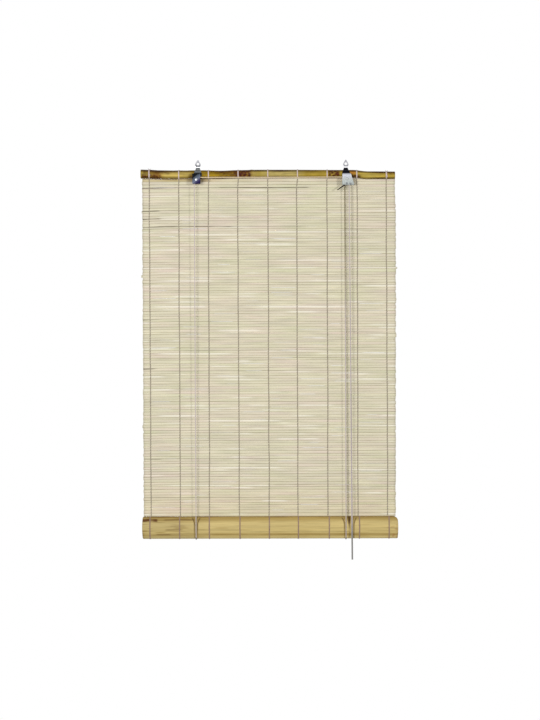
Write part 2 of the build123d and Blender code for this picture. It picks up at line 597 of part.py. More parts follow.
def build_parts():
    """Every piece of the blind by name."""
    parts = {"head_pole": make_head_pole(), "slat_mat": make_slat_mat(), "bottom_rail": make_bottom_rail()}
    for number, x in enumerate(STRING_XS, start=1):
        parts[f"head_tie_{number}"] = make_head_tie(x)
        parts[f"warp_string_{number}"] = make_warp_string(x)
        parts[f"rail_tie_{number}"] = make_rail_tie(x)
    parts["left_hanger_strap"] = make_hanger_strap(LEFT_EYE_X)
    parts["right_hanger_strap"] = make_hanger_strap(RIGHT_EYE_X)
    parts["left_pulley_housing"] = make_pulley_housing()
    parts["right_lock_housing"] = make_lock_housing()
    parts["left_cord_wheel"] = make_wheel(LEFT_WHEEL_X)
    parts["right_cord_wheel"] = make_wheel(RIGHT_WHEEL_X)
    parts["left_axle_rivet"] = make_rivet(LEFT_WHEEL_X, WHEEL_Z, AXLE_RADIUS, AXLE_HEAD_RADIUS)
    parts["right_axle_rivet"] = make_rivet(RIGHT_WHEEL_X, WHEEL_Z, AXLE_RADIUS, AXLE_HEAD_RADIUS)
    parts["lock_pawl"] = make_lock_pawl()
    parts["lock_pawl_rivet"] = make_rivet(PAWL_X, PAWL_Z, PIVOT_RADIUS, PIVOT_HEAD_RADIUS)
    parts["lock_guide_pin"] = make_rivet(GUIDE_X, GUIDE_Z, GUIDE_RADIUS, GUIDE_HEAD_RADIUS)

    parts["left_cord_knot"] = make_cord_knot(LEFT_EYE_X)
    parts["left_cord_back_run"] = make_back_run(LEFT_EYE_X, LEFT_LOOP_X)
    parts["left_cord_rail_loop"] = make_rail_loop(LEFT_LOOP_X)
    parts["left_cord_front_run"] = make_front_run(LEFT_CORD_X, LEFT_LOOP_X, OUTER_GROOVE_Y)
    parts["left_cord_cross_run"] = make_cross_run()
    parts["left_cord_pull_strand"] = make_pull_strand(OUTER_GROOVE_Y, PULL_OUTER_END_X, PULL_OUTER_END_Y)
    parts["right_cord_knot"] = make_cord_knot(RIGHT_EYE_X)
    parts["right_cord_back_run"] = make_back_run(RIGHT_EYE_X, RIGHT_LOOP_X)
    parts["right_cord_rail_loop"] = make_rail_loop(RIGHT_LOOP_X)
    parts["right_cord_front_run"] = make_front_run(RIGHT_CORD_X, RIGHT_LOOP_X, INNER_GROOVE_Y)
    parts["right_cord_wheel_wrap"] = make_wheel_wrap()
    parts["right_cord_pull_strand"] = make_pull_strand(INNER_GROOVE_Y, PULL_INNER_END_X, PULL_INNER_END_Y)
    return parts


os.makedirs("parts", exist_ok=True)
for name, shape in build_parts().items():
    export_step(shape, f"parts/{name}.step")
print("cord bend radii: wheels", WHEEL_PITCH_RADIUS, "rail face", round(RAIL_OUTER_RADIUS + LOOP_OFFSET, 1),
      "rail edges", LOOP_OFFSET)
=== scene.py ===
import json
import random
from math import asin, copysign, cos, hypot, pi, radians, sin, sqrt, tau

import bmesh
import bpy
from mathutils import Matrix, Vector, noise


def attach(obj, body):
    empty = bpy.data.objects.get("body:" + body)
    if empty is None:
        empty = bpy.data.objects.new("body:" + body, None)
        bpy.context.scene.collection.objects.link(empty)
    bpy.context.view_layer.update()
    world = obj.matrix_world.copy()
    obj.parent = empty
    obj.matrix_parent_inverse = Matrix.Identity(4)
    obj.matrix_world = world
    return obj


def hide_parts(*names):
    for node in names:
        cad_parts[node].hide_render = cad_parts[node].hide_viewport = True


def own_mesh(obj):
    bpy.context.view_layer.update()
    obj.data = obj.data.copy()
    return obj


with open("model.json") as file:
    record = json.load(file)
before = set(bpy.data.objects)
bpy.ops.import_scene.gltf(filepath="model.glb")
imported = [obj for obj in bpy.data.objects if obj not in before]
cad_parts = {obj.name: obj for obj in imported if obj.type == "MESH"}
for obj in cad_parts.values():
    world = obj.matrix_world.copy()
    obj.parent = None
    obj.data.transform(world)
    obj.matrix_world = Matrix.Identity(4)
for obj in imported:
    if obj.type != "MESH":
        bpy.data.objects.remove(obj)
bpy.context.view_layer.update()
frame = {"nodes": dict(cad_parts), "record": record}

MM = 0.001

# Sizes and places of the solids, in millimetres
POLE_LENGTH = 598.0
POLE_CENTRE = -9.5
POLE_Z = -24.0
POLE_RADIUS = 9.4
POLE_LEFT_RADIUS = 10.0
POLE_RIGHT_RADIUS = 8.8
POLE_EVEN = 200.0
POLE_BORE = 4.6
POLE_LEFT = POLE_CENTRE - POLE_LENGTH / 2
POLE_RIGHT = POLE_CENTRE + POLE_LENGTH / 2
JOINT_X = -48.0
JOINT_WIDTH = 9.0
JOINT_SWELL = 0.8
DIAPHRAGM = 4.0
MAT_LEFT = -305.7
MAT_WIDTH = 596.0
MAT_TOP = -35.7
MAT_BOTTOM = -827.07
SLAT_COUNT = 130
SLAT_HALF_THICKNESS = 1.2
SLAT_STEP = (MAT_TOP - MAT_BOTTOM) / SLAT_COUNT
STRING_COUNT = 9
STRING_PITCH = 69.7
STRING_FIRST = -288.3
STRING_TOP = -34.95
STRING_BOTTOM = -827.82
STRING_XS = [STRING_FIRST + STRING_PITCH * i for i in range(STRING_COUNT)]
SLIT_COUNT = 112
SLIT_MARGIN = 3.0
SLIT_EDGE_ROWS = 2
SLIT_STEP_ROWS = 47
SLIT_STEP_BAYS = 3
SLIT_LENGTHS = (1.0, 0.62, 0.86, 0.45, 0.74, 0.93, 0.55)
SLIT_PLACES = (0.0, 0.5, 1.0)
SLIT_HEIGHTS = (0.30, 0.75)
RAIL_LEFT = -306.5
RAIL_RIGHT = 294.5
RAIL_TOP = -829.0
RAIL_HEIGHT = 52.0
RAIL_THICKNESS = 6.0
RAIL_SAGITTA = 7.0
RAIL_FRONT_Y = -12.4
RAIL_HALF = RAIL_HEIGHT / 2
RAIL_BOTTOM = RAIL_TOP - RAIL_HEIGHT
RAIL_MIDDLE = RAIL_TOP - RAIL_HALF
RAIL_OUTER = round((RAIL_HALF ** 2 + RAIL_SAGITTA ** 2) / (2 * RAIL_SAGITTA), 3)
RAIL_INNER = RAIL_OUTER - RAIL_THICKNESS
RAIL_AXIS_Y = RAIL_FRONT_Y + RAIL_OUTER
RAIL_BACK_Y = RAIL_AXIS_Y - sqrt(RAIL_INNER ** 2 - RAIL_HALF ** 2)
OUTER_ANGLE = asin(RAIL_HALF / RAIL_OUTER)
INNER_ANGLE = asin(RAIL_HALF / RAIL_INNER)
CORD_RADIUS = 1.1
CORD_STAND = CORD_RADIUS + 0.4
CROSS_Z = -33.0
WHEEL_Z = -38.0
INNER_Y = -14.3
OUTER_Y = -18.1
LOOP_FRONT_Y = -13.9
LOOP_BACK_Y = RAIL_BACK_Y + CORD_STAND
LEFT_CORD_X = -182.0
RIGHT_CORD_X = 171.0
PULL_X = 181.0
LEFT_EYE_X = -174.0
RIGHT_EYE_X = 174.0
LIP_HOLE_Y = 14.7
LIP_TOP = -34.3

# Places where the hung blind departs from its straight solids
LEFT_LOOP_X = -180.0
RIGHT_LOOP_X = 171.9
PULL_ENDS = ((185.3, -16.9, -929.5), (187.2, -15.0, -929.5))
POLE_THICK_END = 0.7
POLE_THICK_FADE = (-228, -196)

rng = random.Random(31)


def srgb(red, green, blue):
    """A colour as it looks on screen, 0 to 255, in linear values."""
    def channel(value):
        value /= 255
        return value / 12.92 if value <= 0.04045 else ((value + 0.055) / 1.055) ** 2.4
    return (channel(red), channel(green), channel(blue))


def mix(a, b, share):
    """The colour at a share of the way from a to b."""
    share = min(1.0, max(0.0, share))
    return tuple(p + (q - p) * share for p, q in zip(a, b))


def smooth(low, high, value):
    """A soft step from 0 at low to 1 at high."""
    share = min(1.0, max(0.0, (value - low) / (high - low)))
    return share * share * (3 - 2 * share)


def window(low, high, soft, value):
    """1 between low and high, falling to 0 over a soft length outside."""
    return smooth(low - soft, low, value) * (1 - smooth(high, high + soft, value))


def wander(seed, x, length):
    """Smooth random value, about -1 to 1, that changes over a length. Each use has its own seed."""
    return noise.noise(Vector((x / length, seed * 7.13, seed * 3.71 + 0.5)))


# Materials
class Nodes:
    """Short calls to add nodes to a node tree."""

    def __init__(self, tree):
        self.tree = tree

    def feed(self, socket, value):
        """Link a node's output to a socket, or give the socket a value."""
        if isinstance(value, bpy.types.NodeSocket):
            self.tree.links.new(value, socket)
        else:
            socket.default_value = value

    def node(self, kind, inputs=(), **settings):
        made = self.tree.nodes.new(kind)
        for key, value in settings.items():
            setattr(made, key, value)
        for key, value in dict(inputs).items():
            self.feed(made.inputs[key], value)
        return made


class Shader(Nodes):
    """A Principled material and its textures."""

    def __init__(self, name, roughness, metallic=0.0, specular=0.5):
        self.material = bpy.data.materials.new(name)
        self.material.use_nodes = True
        super().__init__(self.material.node_tree)
        self.surface = self.tree.nodes["Principled BSDF"]
        self.set("Roughness", roughness)
        self.set("Metallic", metallic)
        self.set("Specular IOR Level", specular)

    def set(self, name, value):
        self.feed(self.surface.inputs[name], value)

    def coords(self):
        return self.node("ShaderNodeTexCoord").outputs["Object"]

    def noise(self, scale, detail=4, roughness=0.55):
        """Noise in object coordinates that are stretched by a scale for each axis."""
        place = self.node("ShaderNodeMapping", {"Vector": self.coords(), "Scale": scale}).outputs["Vector"]
        inputs = {"Vector": place, "Scale": 1.0, "Detail": detail, "Roughness": roughness}
        return self.node("ShaderNodeTexNoise", inputs).outputs["Fac"]

    def ramp(self, value, stops):
        made = self.node("ShaderNodeValToRGB", {"Fac": value})
        elements = made.color_ramp.elements
        while len(elements) < len(stops):
            elements.new(0.5)
        for element, (place, colour) in zip(elements, stops):
            element.position = place
            element.color = (*colour, 1)
        return made.outputs["Color"]

    def grey(self, value, low, high, dark, light):
        """Map a value between low and high to greys between dark and light."""
        return self.ramp(value, [(low, (dark,) * 3), (high, (light,) * 3)])

    def multiply(self, a, b):
        """The product of two colours."""
        made = self.node("ShaderNodeMix", {"Factor": 1.0}, data_type="RGBA", blend_type="MULTIPLY")
        for socket, value in zip([i for i in made.inputs if i.type == "RGBA"], (a, b)):
            self.feed(socket, value)
        return [o for o in made.outputs if o.type == "RGBA"][0]

    def tint(self):
        """The colours on the mesh's points."""
        return self.node("ShaderNodeAttribute", attribute_name="tint").outputs["Color"]

    def paint(self, colour, *layers):
        """Give the surface a colour shaded by layers: (noise, low, high, dark, light), as for grey."""
        for layer in layers:
            colour = self.multiply(colour, self.grey(*layer))
        self.set("Base Color", colour)

    def bump(self, height, distance, strength):
        made = self.node("ShaderNodeBump", {"Height": height, "Distance": distance, "Strength": strength})
        self.set("Normal", made.outputs["Normal"])


def slat_material():
    shader = Shader("slat_bamboo", 0.55, specular=0.25)
    fibres = shader.noise((22, 300, 2400))
    lines = shader.noise((12, 60, 400), roughness=0.6)
    shader.paint(shader.tint(), (fibres, 0.28, 0.72, 0.92, 1.05), (lines, 0.30, 0.70, 0.89, 1.07))
    shader.set("Roughness", shader.grey(fibres, 0.3, 0.7, 0.68, 0.48))
    shader.bump(fibres, 0.00012, 0.7)
    return shader.material


def pole_material():
    shader = Shader("pole_bamboo", 0.5, specular=0.12)
    streaks = shader.noise((14, 500, 500), detail=5, roughness=0.6)
    bands = shader.noise((9, 230, 230), detail=3, roughness=0.6)
    blotches = shader.noise((60, 160, 160))
    shader.paint(shader.tint(), (streaks, 0.3, 0.7, 0.72, 1.14), (bands, 0.34, 0.66, 0.80, 1.18),
                 (blotches, 0.35, 0.65, 0.84, 1.08))
    shader.set("Roughness", shader.grey(blotches, 0.3, 0.7, 0.38, 0.52))
    shader.bump(streaks, 0.0002, 0.6)
    return shader.material


def rail_material():
    shader = Shader("rail_bamboo", 0.5, specular=0.2)
    grain = shader.noise((9, 300, 330), detail=5, roughness=0.62)
    bands = shader.noise((4, 60, 95), detail=2)
    shader.paint(shader.tint(), (grain, 0.3, 0.7, 0.80, 1.10), (bands, 0.32, 0.68, 0.92, 1.05))
    shader.set("Roughness", shader.grey(grain, 0.3, 0.7, 0.5, 0.38))
    shader.bump(grain, 0.00025, 0.6)
    return shader.material


def thread_material(name, colour, fine):
    """Fuzzy thread of one colour, or of the colours on its points where colour is None."""
    shader = Shader(name, 0.9, specular=0.15)
    fuzz = shader.noise((fine, fine, fine))
    shader.paint((*colour, 1) if colour else shader.tint(), (fuzz, 0.3, 0.7, 0.78, 1.12))
    shader.bump(fuzz, 0.00012, 0.8)
    shader.set("Sheen Weight", 0.15)
    return shader.material


def metal_material(name, light, dark, roughness, patch_scale):
    shader = Shader(name, roughness, metallic=1.0)
    patches = shader.noise((patch_scale,) * 3, roughness=0.6)
    shader.paint(shader.ramp(patches, [(0.34, dark), (0.62, light)]))
    shader.set("Roughness", shader.grey(patches, 0.3, 0.7, roughness + 0.14, roughness))
    shader.bump(shader.noise((2600, 2600, 260), detail=2), 0.00003, 0.5)
    return shader.material


def plating_with_painted_light(name, stops, slope=0.0, roughness=0.34):
    """Mottled plating with tones by height: (height, red, green, blue), which mix its own colour with painted
    highlights, painted shade and painted reflections. The bands slope about the left eye.
    """
    shader = Shader(name, roughness, metallic=1.0)
    middle = (LEFT_EYE_X * MM, 0, 0)
    place = shader.node("ShaderNodeVectorMath", {0: shader.coords(), 1: middle}, operation="SUBTRACT")
    height = shader.node("ShaderNodeVectorMath", {0: place.outputs["Vector"], 1: (slope, 0, 1)},
                         operation="DOT_PRODUCT").outputs["Value"]
    low, high = stops[0][0], stops[-1][0]
    share = shader.node("ShaderNodeMapRange", {"Value": height, "From Min": low * MM, "From Max": high * MM})
    tones = [((z - low) / (high - low), srgb(*colour)) for z, *colour in stops]
    tone = shader.ramp(share.outputs["Result"], tones)
    patches = shader.noise((420, 420, 420), roughness=0.6)
    shader.paint(tone, (patches, 0.3, 0.7, 0.82, 1.10))
    shader.set("Roughness", shader.grey(patches, 0.3, 0.7, roughness + 0.12, roughness - 0.04))
    shader.bump(shader.noise((2600, 2600, 260), detail=2), 0.00003, 0.5)
    return shader.material


def plastic_material():
    shader = Shader("wheel_plastic", 0.5, specular=0.4)
    grain = shader.noise((1500, 1500, 1500), detail=2)
    shader.paint(shader.ramp(grain, [(0.3, srgb(30, 28, 33)), (0.7, srgb(44, 41, 47))]))
    shader.bump(grain, 0.00004, 0.6)
    return shader.material


SLATS = slat_material()
POLE = pole_material()
RAIL = rail_material()
WARP = thread_material("warp_string", srgb(166, 156, 138), 1700)
TIE = thread_material("head_tie_string", srgb(220, 202, 198), 1700)
RAIL_TIE = thread_material("rail_tie_string", srgb(168, 142, 124), 1700)
CORD = thread_material("lift_cord", srgb(211, 199, 196), 1900)
# Cord coloured by height from its points: painted shadow on the right front cord, darker loops under the rail
# and grey pull ends
CORD_BY_HEIGHT = thread_material("soiled_cord", None, 1900)
CROSS_CORD = thread_material("cross_cord", srgb(245, 223, 182), 1900)
STEEL = metal_material("steel", srgb(120, 122, 126), srgb(70, 72, 76), 0.36, 420)
# Near-white bands are painted highlights and near-black bands painted shade; the dark left housing and the
# pale right housing carry painted reflections of a dark and a bright surround
LEFT_STRAP_PAINTED_LIGHT = plating_with_painted_light("left_strap_painted_light", [
    (-37, 44, 48, 58), (-25, 38, 42, 50), (-22.5, 12, 13, 16), (-20, 104, 108, 112),
    (-14, 122, 124, 124), (-11, 44, 48, 48), (-9.4, 64, 68, 68), (-8.2, 222, 223, 224),
    (-7.0, 156, 157, 160), (-5.4, 44, 45, 48), (-2.5, 116, 117, 121), (9.4, 136, 136, 140)])
RIGHT_STRAP_PAINTED_LIGHT = plating_with_painted_light("right_strap_painted_light", [
    (-37, 30, 30, 38), (-26, 16, 16, 22), (-21, 9, 9, 15), (-17, 26, 26, 34), (-13, 10, 10, 16),
    (-9.6, 22, 22, 28), (-8.2, 230, 230, 232), (-6.6, 176, 176, 179), (-4.8, 122, 122, 126),
    (-1, 150, 150, 154), (9.4, 138, 138, 143)])
LEFT_HOUSING_PAINTED_LIGHT = plating_with_painted_light("left_housing_painted_light", [
    (-52, 18, 14, 40), (-46, 28, 23, 52), (-42, 46, 44, 68), (-37, 76, 80, 94), (-32, 62, 68, 78),
    (-28, 52, 58, 66), (-25, 16, 17, 20)], slope=-0.8)
RIGHT_HOUSING_PAINTED_LIGHT = plating_with_painted_light("right_housing_painted_light", [
    (-52, 138, 142, 139), (-46, 150, 155, 153), (-40, 156, 160, 157), (-34, 160, 163, 166),
    (-29, 174, 176, 182), (-25, 140, 142, 148)], roughness=0.6)
BLACK_STEEL = metal_material("black_steel", srgb(48, 42, 38), srgb(20, 17, 15), 0.34, 420)
BRIGHT_STEEL = metal_material("bright_steel", srgb(168, 170, 168), srgb(124, 128, 126), 0.36, 300)
WHITE_STEEL = metal_material("polished_steel", srgb(176, 178, 182), srgb(140, 142, 146), 0.24, 300)
PLASTIC = plastic_material()


# Pieces
ACROSS = Vector((1, 0, 0))
INWARD = Vector((0, 1, 0))


def circle(count):
    """Angles of evenly spaced points once round a circle."""
    return [tau * i / count for i in range(count)]


def add_object(name, data):
    made = bpy.data.objects.new(name, data)
    bpy.context.scene.collection.objects.link(made)
    return made


def add_piece(name, mesh, material, body, replaced=None):
    """Show a mesh as a smooth piece that rides on a body and may stand for a node."""
    mesh.materials.clear()
    mesh.materials.append(material)
    mesh.polygons.foreach_set("use_smooth", [True] * len(mesh.polygons))
    made = add_object(name, mesh)
    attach(made, body)
    if replaced:
        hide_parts(replaced)
    return made


def piece(name, points, faces, material, body, slot, replaced=None, tints=None):
    """A piece made of points in millimetres, with a colour for each point where tints are given."""
    mesh = bpy.data.meshes.new(name)
    mesh.from_pydata([(x * MM, y * MM, z * MM) for x, y, z in points], [], faces)
    if tints:
        layer = mesh.color_attributes.new("tint", "FLOAT_COLOR", "POINT")
        layer.data.foreach_set("color", [c for tint in tints for c in (*tint, 1.0)])
    shape = bmesh.new()
    shape.from_mesh(mesh)
    bmesh.ops.recalc_face_normals(shape, faces=shape.faces)
    shape.to_mesh(mesh)
    shape.free()
    return add_piece(name, mesh, material, body, replaced)


def shorten(made, top, low):
    """Give a piece a mesh of its own."""
    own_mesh(made)


def rings_to_faces(first, rings, sides, closed=False):
    """Faces of a tube whose rings of points start at index first: closed to a loop, or capped."""
    faces = []
    for ring in range(rings if closed else rings - 1):
        start, end = first + ring * sides, first + (ring + 1) % rings * sides
        for side in range(sides):
            after = (side + 1) % sides
            faces.append((start + side, start + after, end + after, end + side))
    if not closed:
        faces.append(tuple(reversed(range(first, first + sides))))
        last = first + (rings - 1) * sides
        faces.append(tuple(range(last, last + sides)))
    return faces


def tube(shape, path, wide, deep=None, sides=6, side_hint=ACROSS, closed=False):
    """Add a tube along a path to a shape's points and faces: round, or oval and wide along side_hint."""
    points, faces = shape
    deep = deep or wide
    first, count = len(points), len(path)
    for i, centre in enumerate(path):
        before = path[i - 1] if i or closed else path[0]
        after = path[(i + 1) % count] if i < count - 1 or closed else path[-1]
        along = (after - before).normalized()
        across = (side_hint - along * side_hint.dot(along)).normalized()
        up = along.cross(across)
        for angle in circle(sides):
            points.append(centre + across * (wide * cos(angle)) + up * (deep * sin(angle)))
    faces += rings_to_faces(first, count, sides, closed)


# Line of the head pole
def pole_radius(x):
    """Radius of the culm, which tapers outside its even middle."""
    end = POLE_LEFT_RADIUS if x < POLE_CENTRE else POLE_RIGHT_RADIUS
    reach = (abs(x - POLE_CENTRE) - POLE_EVEN) / (POLE_LENGTH / 2 - POLE_EVEN)
    thick = POLE_THICK_END * (1 - smooth(*POLE_THICK_FADE, x))
    return POLE_RADIUS + (end - POLE_RADIUS) * max(0.0, reach) + thick


# Rise of the crooked culm over a straight one: (place along the pole, rise) in millimetres
POLE_BOW = [(-309, 0.8), (-288, 0.3), (-262, -0.9), (-234, -1.2), (-205, -0.5), (-186, 0), (-162, 0),
            (-121, -1.1), (-75, 0.2), (-30, 0.9), (40, 0.7), (110, 0.3), (160, 0), (188, 0), (226, -3.2),
            (290, -3.4)]


def pole_bow(x):
    """Rise of the culm's axis at x."""
    for (low, first), (high, second) in zip(POLE_BOW, POLE_BOW[1:]):
        if x < high:
            return first + (second - first) * smooth(low, high, x)
    return POLE_BOW[-1][1]


# Slat mat: each slat has its own edges, thickness and colour
def slit_windows():
    """Open slits by row of the edge: lists of (start, end, height) in millimetres."""
    bays = STRING_COUNT - 1
    open_rows = SLAT_COUNT + 1 - 2 * SLIT_EDGE_ROWS
    room = STRING_PITCH - 2 * SLIT_MARGIN
    found = {}
    for i in range(SLIT_COUNT):
        row = SLIT_EDGE_ROWS + (i * SLIT_STEP_ROWS) % open_rows
        bay = (i * SLIT_STEP_BAYS + i // bays) % bays
        length = room * SLIT_LENGTHS[i % len(SLIT_LENGTHS)]
        start = STRING_XS[bay] + SLIT_MARGIN + (room - length) * SLIT_PLACES[i % len(SLIT_PLACES)]
        found.setdefault(row, []).append((start, start + length, rng.uniform(*SLIT_HEIGHTS)))
    return found


SLITS = slit_windows()
# Painted shade in the lines between slats by row of the edge: (start, end, strength), with places in
# millimetres
SHADE_LINES = {
    1: [(-305, 290, 0.2)], 3: [(-306, -262, 1.0), (-262, -120, 0.7), (-120, 78, 0.95)],
    9: [(-270, -215, 0.3)], 12: [(-306, -272, 1.0), (-268, -150, 0.5)], 13: [(-250, -208, 0.4)],
    15: [(-306, -268, 1.0), (-268, -60, 0.25)], 16: [(-250, -60, 0.35)],
    18: [(-306, -262, 0.9), (-262, -100, 0.8), (-100, 70, 0.6)], 23: [(90, 200, 0.3)], 26: [(60, 240, 0.3)],
    31: [(-120, 60, 0.3)], 41: [(90, 285, 0.3)], 47: [(-305, -230, 0.3)], 54: [(-306, -268, 0.8)],
    61: [(-220, -20, 0.35)], 66: [(-200, 30, 0.35)], 73: [(-306, -280, 0.9)], 74: [(-250, 20, 0.35)],
    86: [(0, 190, 0.3)], 90: [(200, 291, 0.4)], 97: [(-280, -80, 0.35)],
    108: [(-306, -266, 0.9), (-266, -200, 0.6), (-200, 40, 0.4)], 115: [(-305, -120, 0.4)],
    119: [(-40, 270, 0.35)], 123: [(-300, -60, 0.45)], 126: [(-200, 290, 0.3)],
}
SLAT_CREAM, SLAT_PINK, SLAT_GREEN = srgb(219, 211, 185), srgb(223, 207, 190), srgb(211, 208, 175)
# A pale lean and a grey lean of the slats, and a painted highlight for their crests
SLAT_LIGHT, SLAT_GREY, SLAT_PAINTED_HIGHLIGHT = srgb(229, 222, 193), srgb(207, 199, 178), srgb(250, 245, 230)
# Colours of the painted shade in the grooves between slats, and of the deepest painted shade
PAINTED_GROOVE_SHADE, PAINTED_DEEP_SHADE = srgb(144, 132, 86), srgb(74, 58, 34)
# Colours of the pole's painted shadow on the first slat
POLE_SHADOW_TAN, POLE_SHADOW_BROWN = srgb(196, 176, 124), srgb(146, 114, 60)
# The last slats are warmer with painted bounce light and shade from the rail: the share of red, green and
# blue that they lose over these rows
LOW_SLATS_RAIL_BOUNCE = (0.02, 0.05, 0.11)
LOW_SLATS_ROWS = (112, 128)
# Painted shadows on the first slat beside the left bracket: (start, end)
BRACKET_SHADOWS = ((-198, -186), (-168, -150))
BRACKET_SHADOW_COLOUR = srgb(112, 86, 32)
# How far the left ends of slats hang down: of most, of some by row of the edge, and over what length
END_DROOP = 0.6
END_DROOP_LENGTH = 60
END_DROOPS = {3: 1.0, 11: 1.0, 12: 1.6, 14: 1.2, 15: 1.8, 17: 1.3, 18: 2.0, 19: 1.2, 54: 1.4, 73: 1.5}
# Slats that stick out, by row: how far at the left end and at the right end
LONG_ENDS = {34: (0, 3.2), 37: (2.6, 0), 46: (0, 1.8), 12: (1.2, 0), 60: (0, 1.2), 95: (1.4, 0.6)}
# Levels of the painted highlight on each slat
HIGHLIGHT_LEVELS = [rng.gauss(-0.05, 0.14) for _ in range(SLAT_COUNT)]
GROOVE_SHIFTS = [rng.gauss(0, 0.55) for _ in range(SLAT_COUNT + 1)]
# How much painted shade each groove has
GROOVE_SHADE_LEVELS = [rng.gauss(0.18, 0.16) for _ in range(SLAT_COUNT + 1)]
FIRST_SLAT_TOP = -32.4
POLE_CLEARANCE = 0.25
RAIL_CLEARANCE = 0.15
SLAT_OVERLAP = 0.05
SLIT_TAPER = 5
# Section of a slat: half the width of its edge, the drop to its shoulder and the rise of its crown
SLAT_EDGE = 0.45
SLAT_SHOULDER = 0.95
SLAT_CROWN = 0.06
# The mat hangs askew: how far its sides drift to the middle from the top slat to the last one
LEFT_DRIFT = 1.8
RIGHT_DRIFT = 2.4


def edge_z(row, x):
    """Height of the line between slat row - 1 and slat row."""
    if row == 0:
        return min(FIRST_SLAT_TOP, POLE_Z + pole_bow(x) - pole_radius(x) - POLE_CLEARANCE)
    if row == SLAT_COUNT:
        return RAIL_TOP + RAIL_CLEARANCE
    droop = END_DROOPS.get(row, END_DROOP) + 0.6 * wander(row + 70, 0, 1)
    droop *= 1 - smooth(0, END_DROOP_LENGTH, x - MAT_LEFT)
    drift = GROOVE_SHIFTS[row] + 0.9 * wander(row, x, 240) + 0.3 * wander(row + 400, x, 60)
    return MAT_TOP - SLAT_STEP * row + drift - droop


def edge_gap(row, x):
    """Half the opening between two slats: below zero where they touch."""
    opening = -SLAT_OVERLAP
    for start, end, height in SLITS.get(row, ()):
        share = window(start + SLIT_TAPER, end - SLIT_TAPER, SLIT_TAPER, x)
        opening = max(opening, share * (height / 2 + SLAT_OVERLAP) - SLAT_OVERLAP)
    return opening


def shade_line_share(row, x):
    """How dark the painted shade in a line between slats is at x, from the listed lines of painted shade."""
    dark = max([s * window(a, b, 16, x) for a, b, s in SHADE_LINES.get(row, ())], default=0.0)
    return dark * (0.9 + 0.4 * wander(row + 50, x, 40))


def end_share(x):
    """1 at the slats' free ends outside the outer strings, where their contrast is stronger."""
    return 1 - window(STRING_XS[0], STRING_XS[-1], 10, x)


def groove_shade_tint(row, x, slat):
    """Colour of a slat's edge: painted shade in the groove, by an amount that changes along the line."""
    depth = GROOVE_SHADE_LEVELS[row] + 0.52 * wander(row + 3000, x, 70) + 0.25 * wander(row + 3500, x, 24)
    depth += 0.15 * end_share(x)
    tint = mix(slat, PAINTED_GROOVE_SHADE, max(0.0, min(0.95, depth)))
    return mix(tint, PAINTED_DEEP_SHADE, shade_line_share(row, x))


def slat_tint(row, x, level):
    """Cream that leans to pink, green, pale or grey along the slat."""
    lean = 1.2 * wander(row + 2000, x, 75) + 0.4 * noise.noise(Vector((x / 160, row / 12, 9.0)))
    tint = mix(SLAT_CREAM, SLAT_PINK if lean > 0 else SLAT_GREEN, abs(lean))
    lean = 0.8 * wander(row + 2500, x, 60)
    tint = mix(tint, SLAT_LIGHT if lean > 0 else SLAT_GREY, abs(lean))
    # Painted warm bounce light and shade from the rail on the last slats
    rail_bounce = smooth(*LOW_SLATS_ROWS, row)
    return tuple(c * level * (1 - share * rail_bounce) for c, share in zip(tint, LOW_SLATS_RAIL_BOUNCE))


def painted_highlight_share(row, x):
    """How strong the painted highlight on the crest of a slat is: long bright lines on some slats."""
    line = 0.8 * wander(row + 5000, x, 140) + 0.35 * wander(row + 5500, x, 45)
    return 0.75 * smooth(0.20, 0.48, line + HIGHLIGHT_LEVELS[row] + 0.12 * end_share(x))


def slat_ends(row):
    """Left and right end of a slat."""
    down = row / SLAT_COUNT
    longer_left, longer_right = LONG_ENDS.get(row, (0, 0))
    left = MAT_LEFT + rng.uniform(-0.2, 1.2) + LEFT_DRIFT * down - longer_left
    right = MAT_LEFT + MAT_WIDTH + rng.uniform(-2.0, -0.6) + 2.6 * smooth(0, 16, row) - RIGHT_DRIFT * down
    return left, right + longer_right


def first_slat_tints(slat, lower, x):
    """Colours of the first slat, with the pole's painted shadow, brown towards the left, and painted shadows
    beside the left bracket: upper edge, crest, middle and lower edge.
    """
    shade = 0.95 - 0.85 * smooth(-250, 10, x) + 0.3 * wander(31, x, 60)
    # Painted shadows beside the left bracket
    bracket_shadow = 0.75 * max(window(start, end, 4, x) for start, end in BRACKET_SHADOWS)
    upper = mix(mix(slat, POLE_SHADOW_BROWN, shade + 0.1), BRACKET_SHADOW_COLOUR, bracket_shadow)
    high = mix(mix(slat, POLE_SHADOW_BROWN, 0.75 * shade), BRACKET_SHADOW_COLOUR, bracket_shadow)
    slat = mix(mix(slat, POLE_SHADOW_TAN, 0.8 * shade), BRACKET_SHADOW_COLOUR, 0.7 * bracket_shadow)
    return upper, high, slat, mix(slat, lower, 0.5)


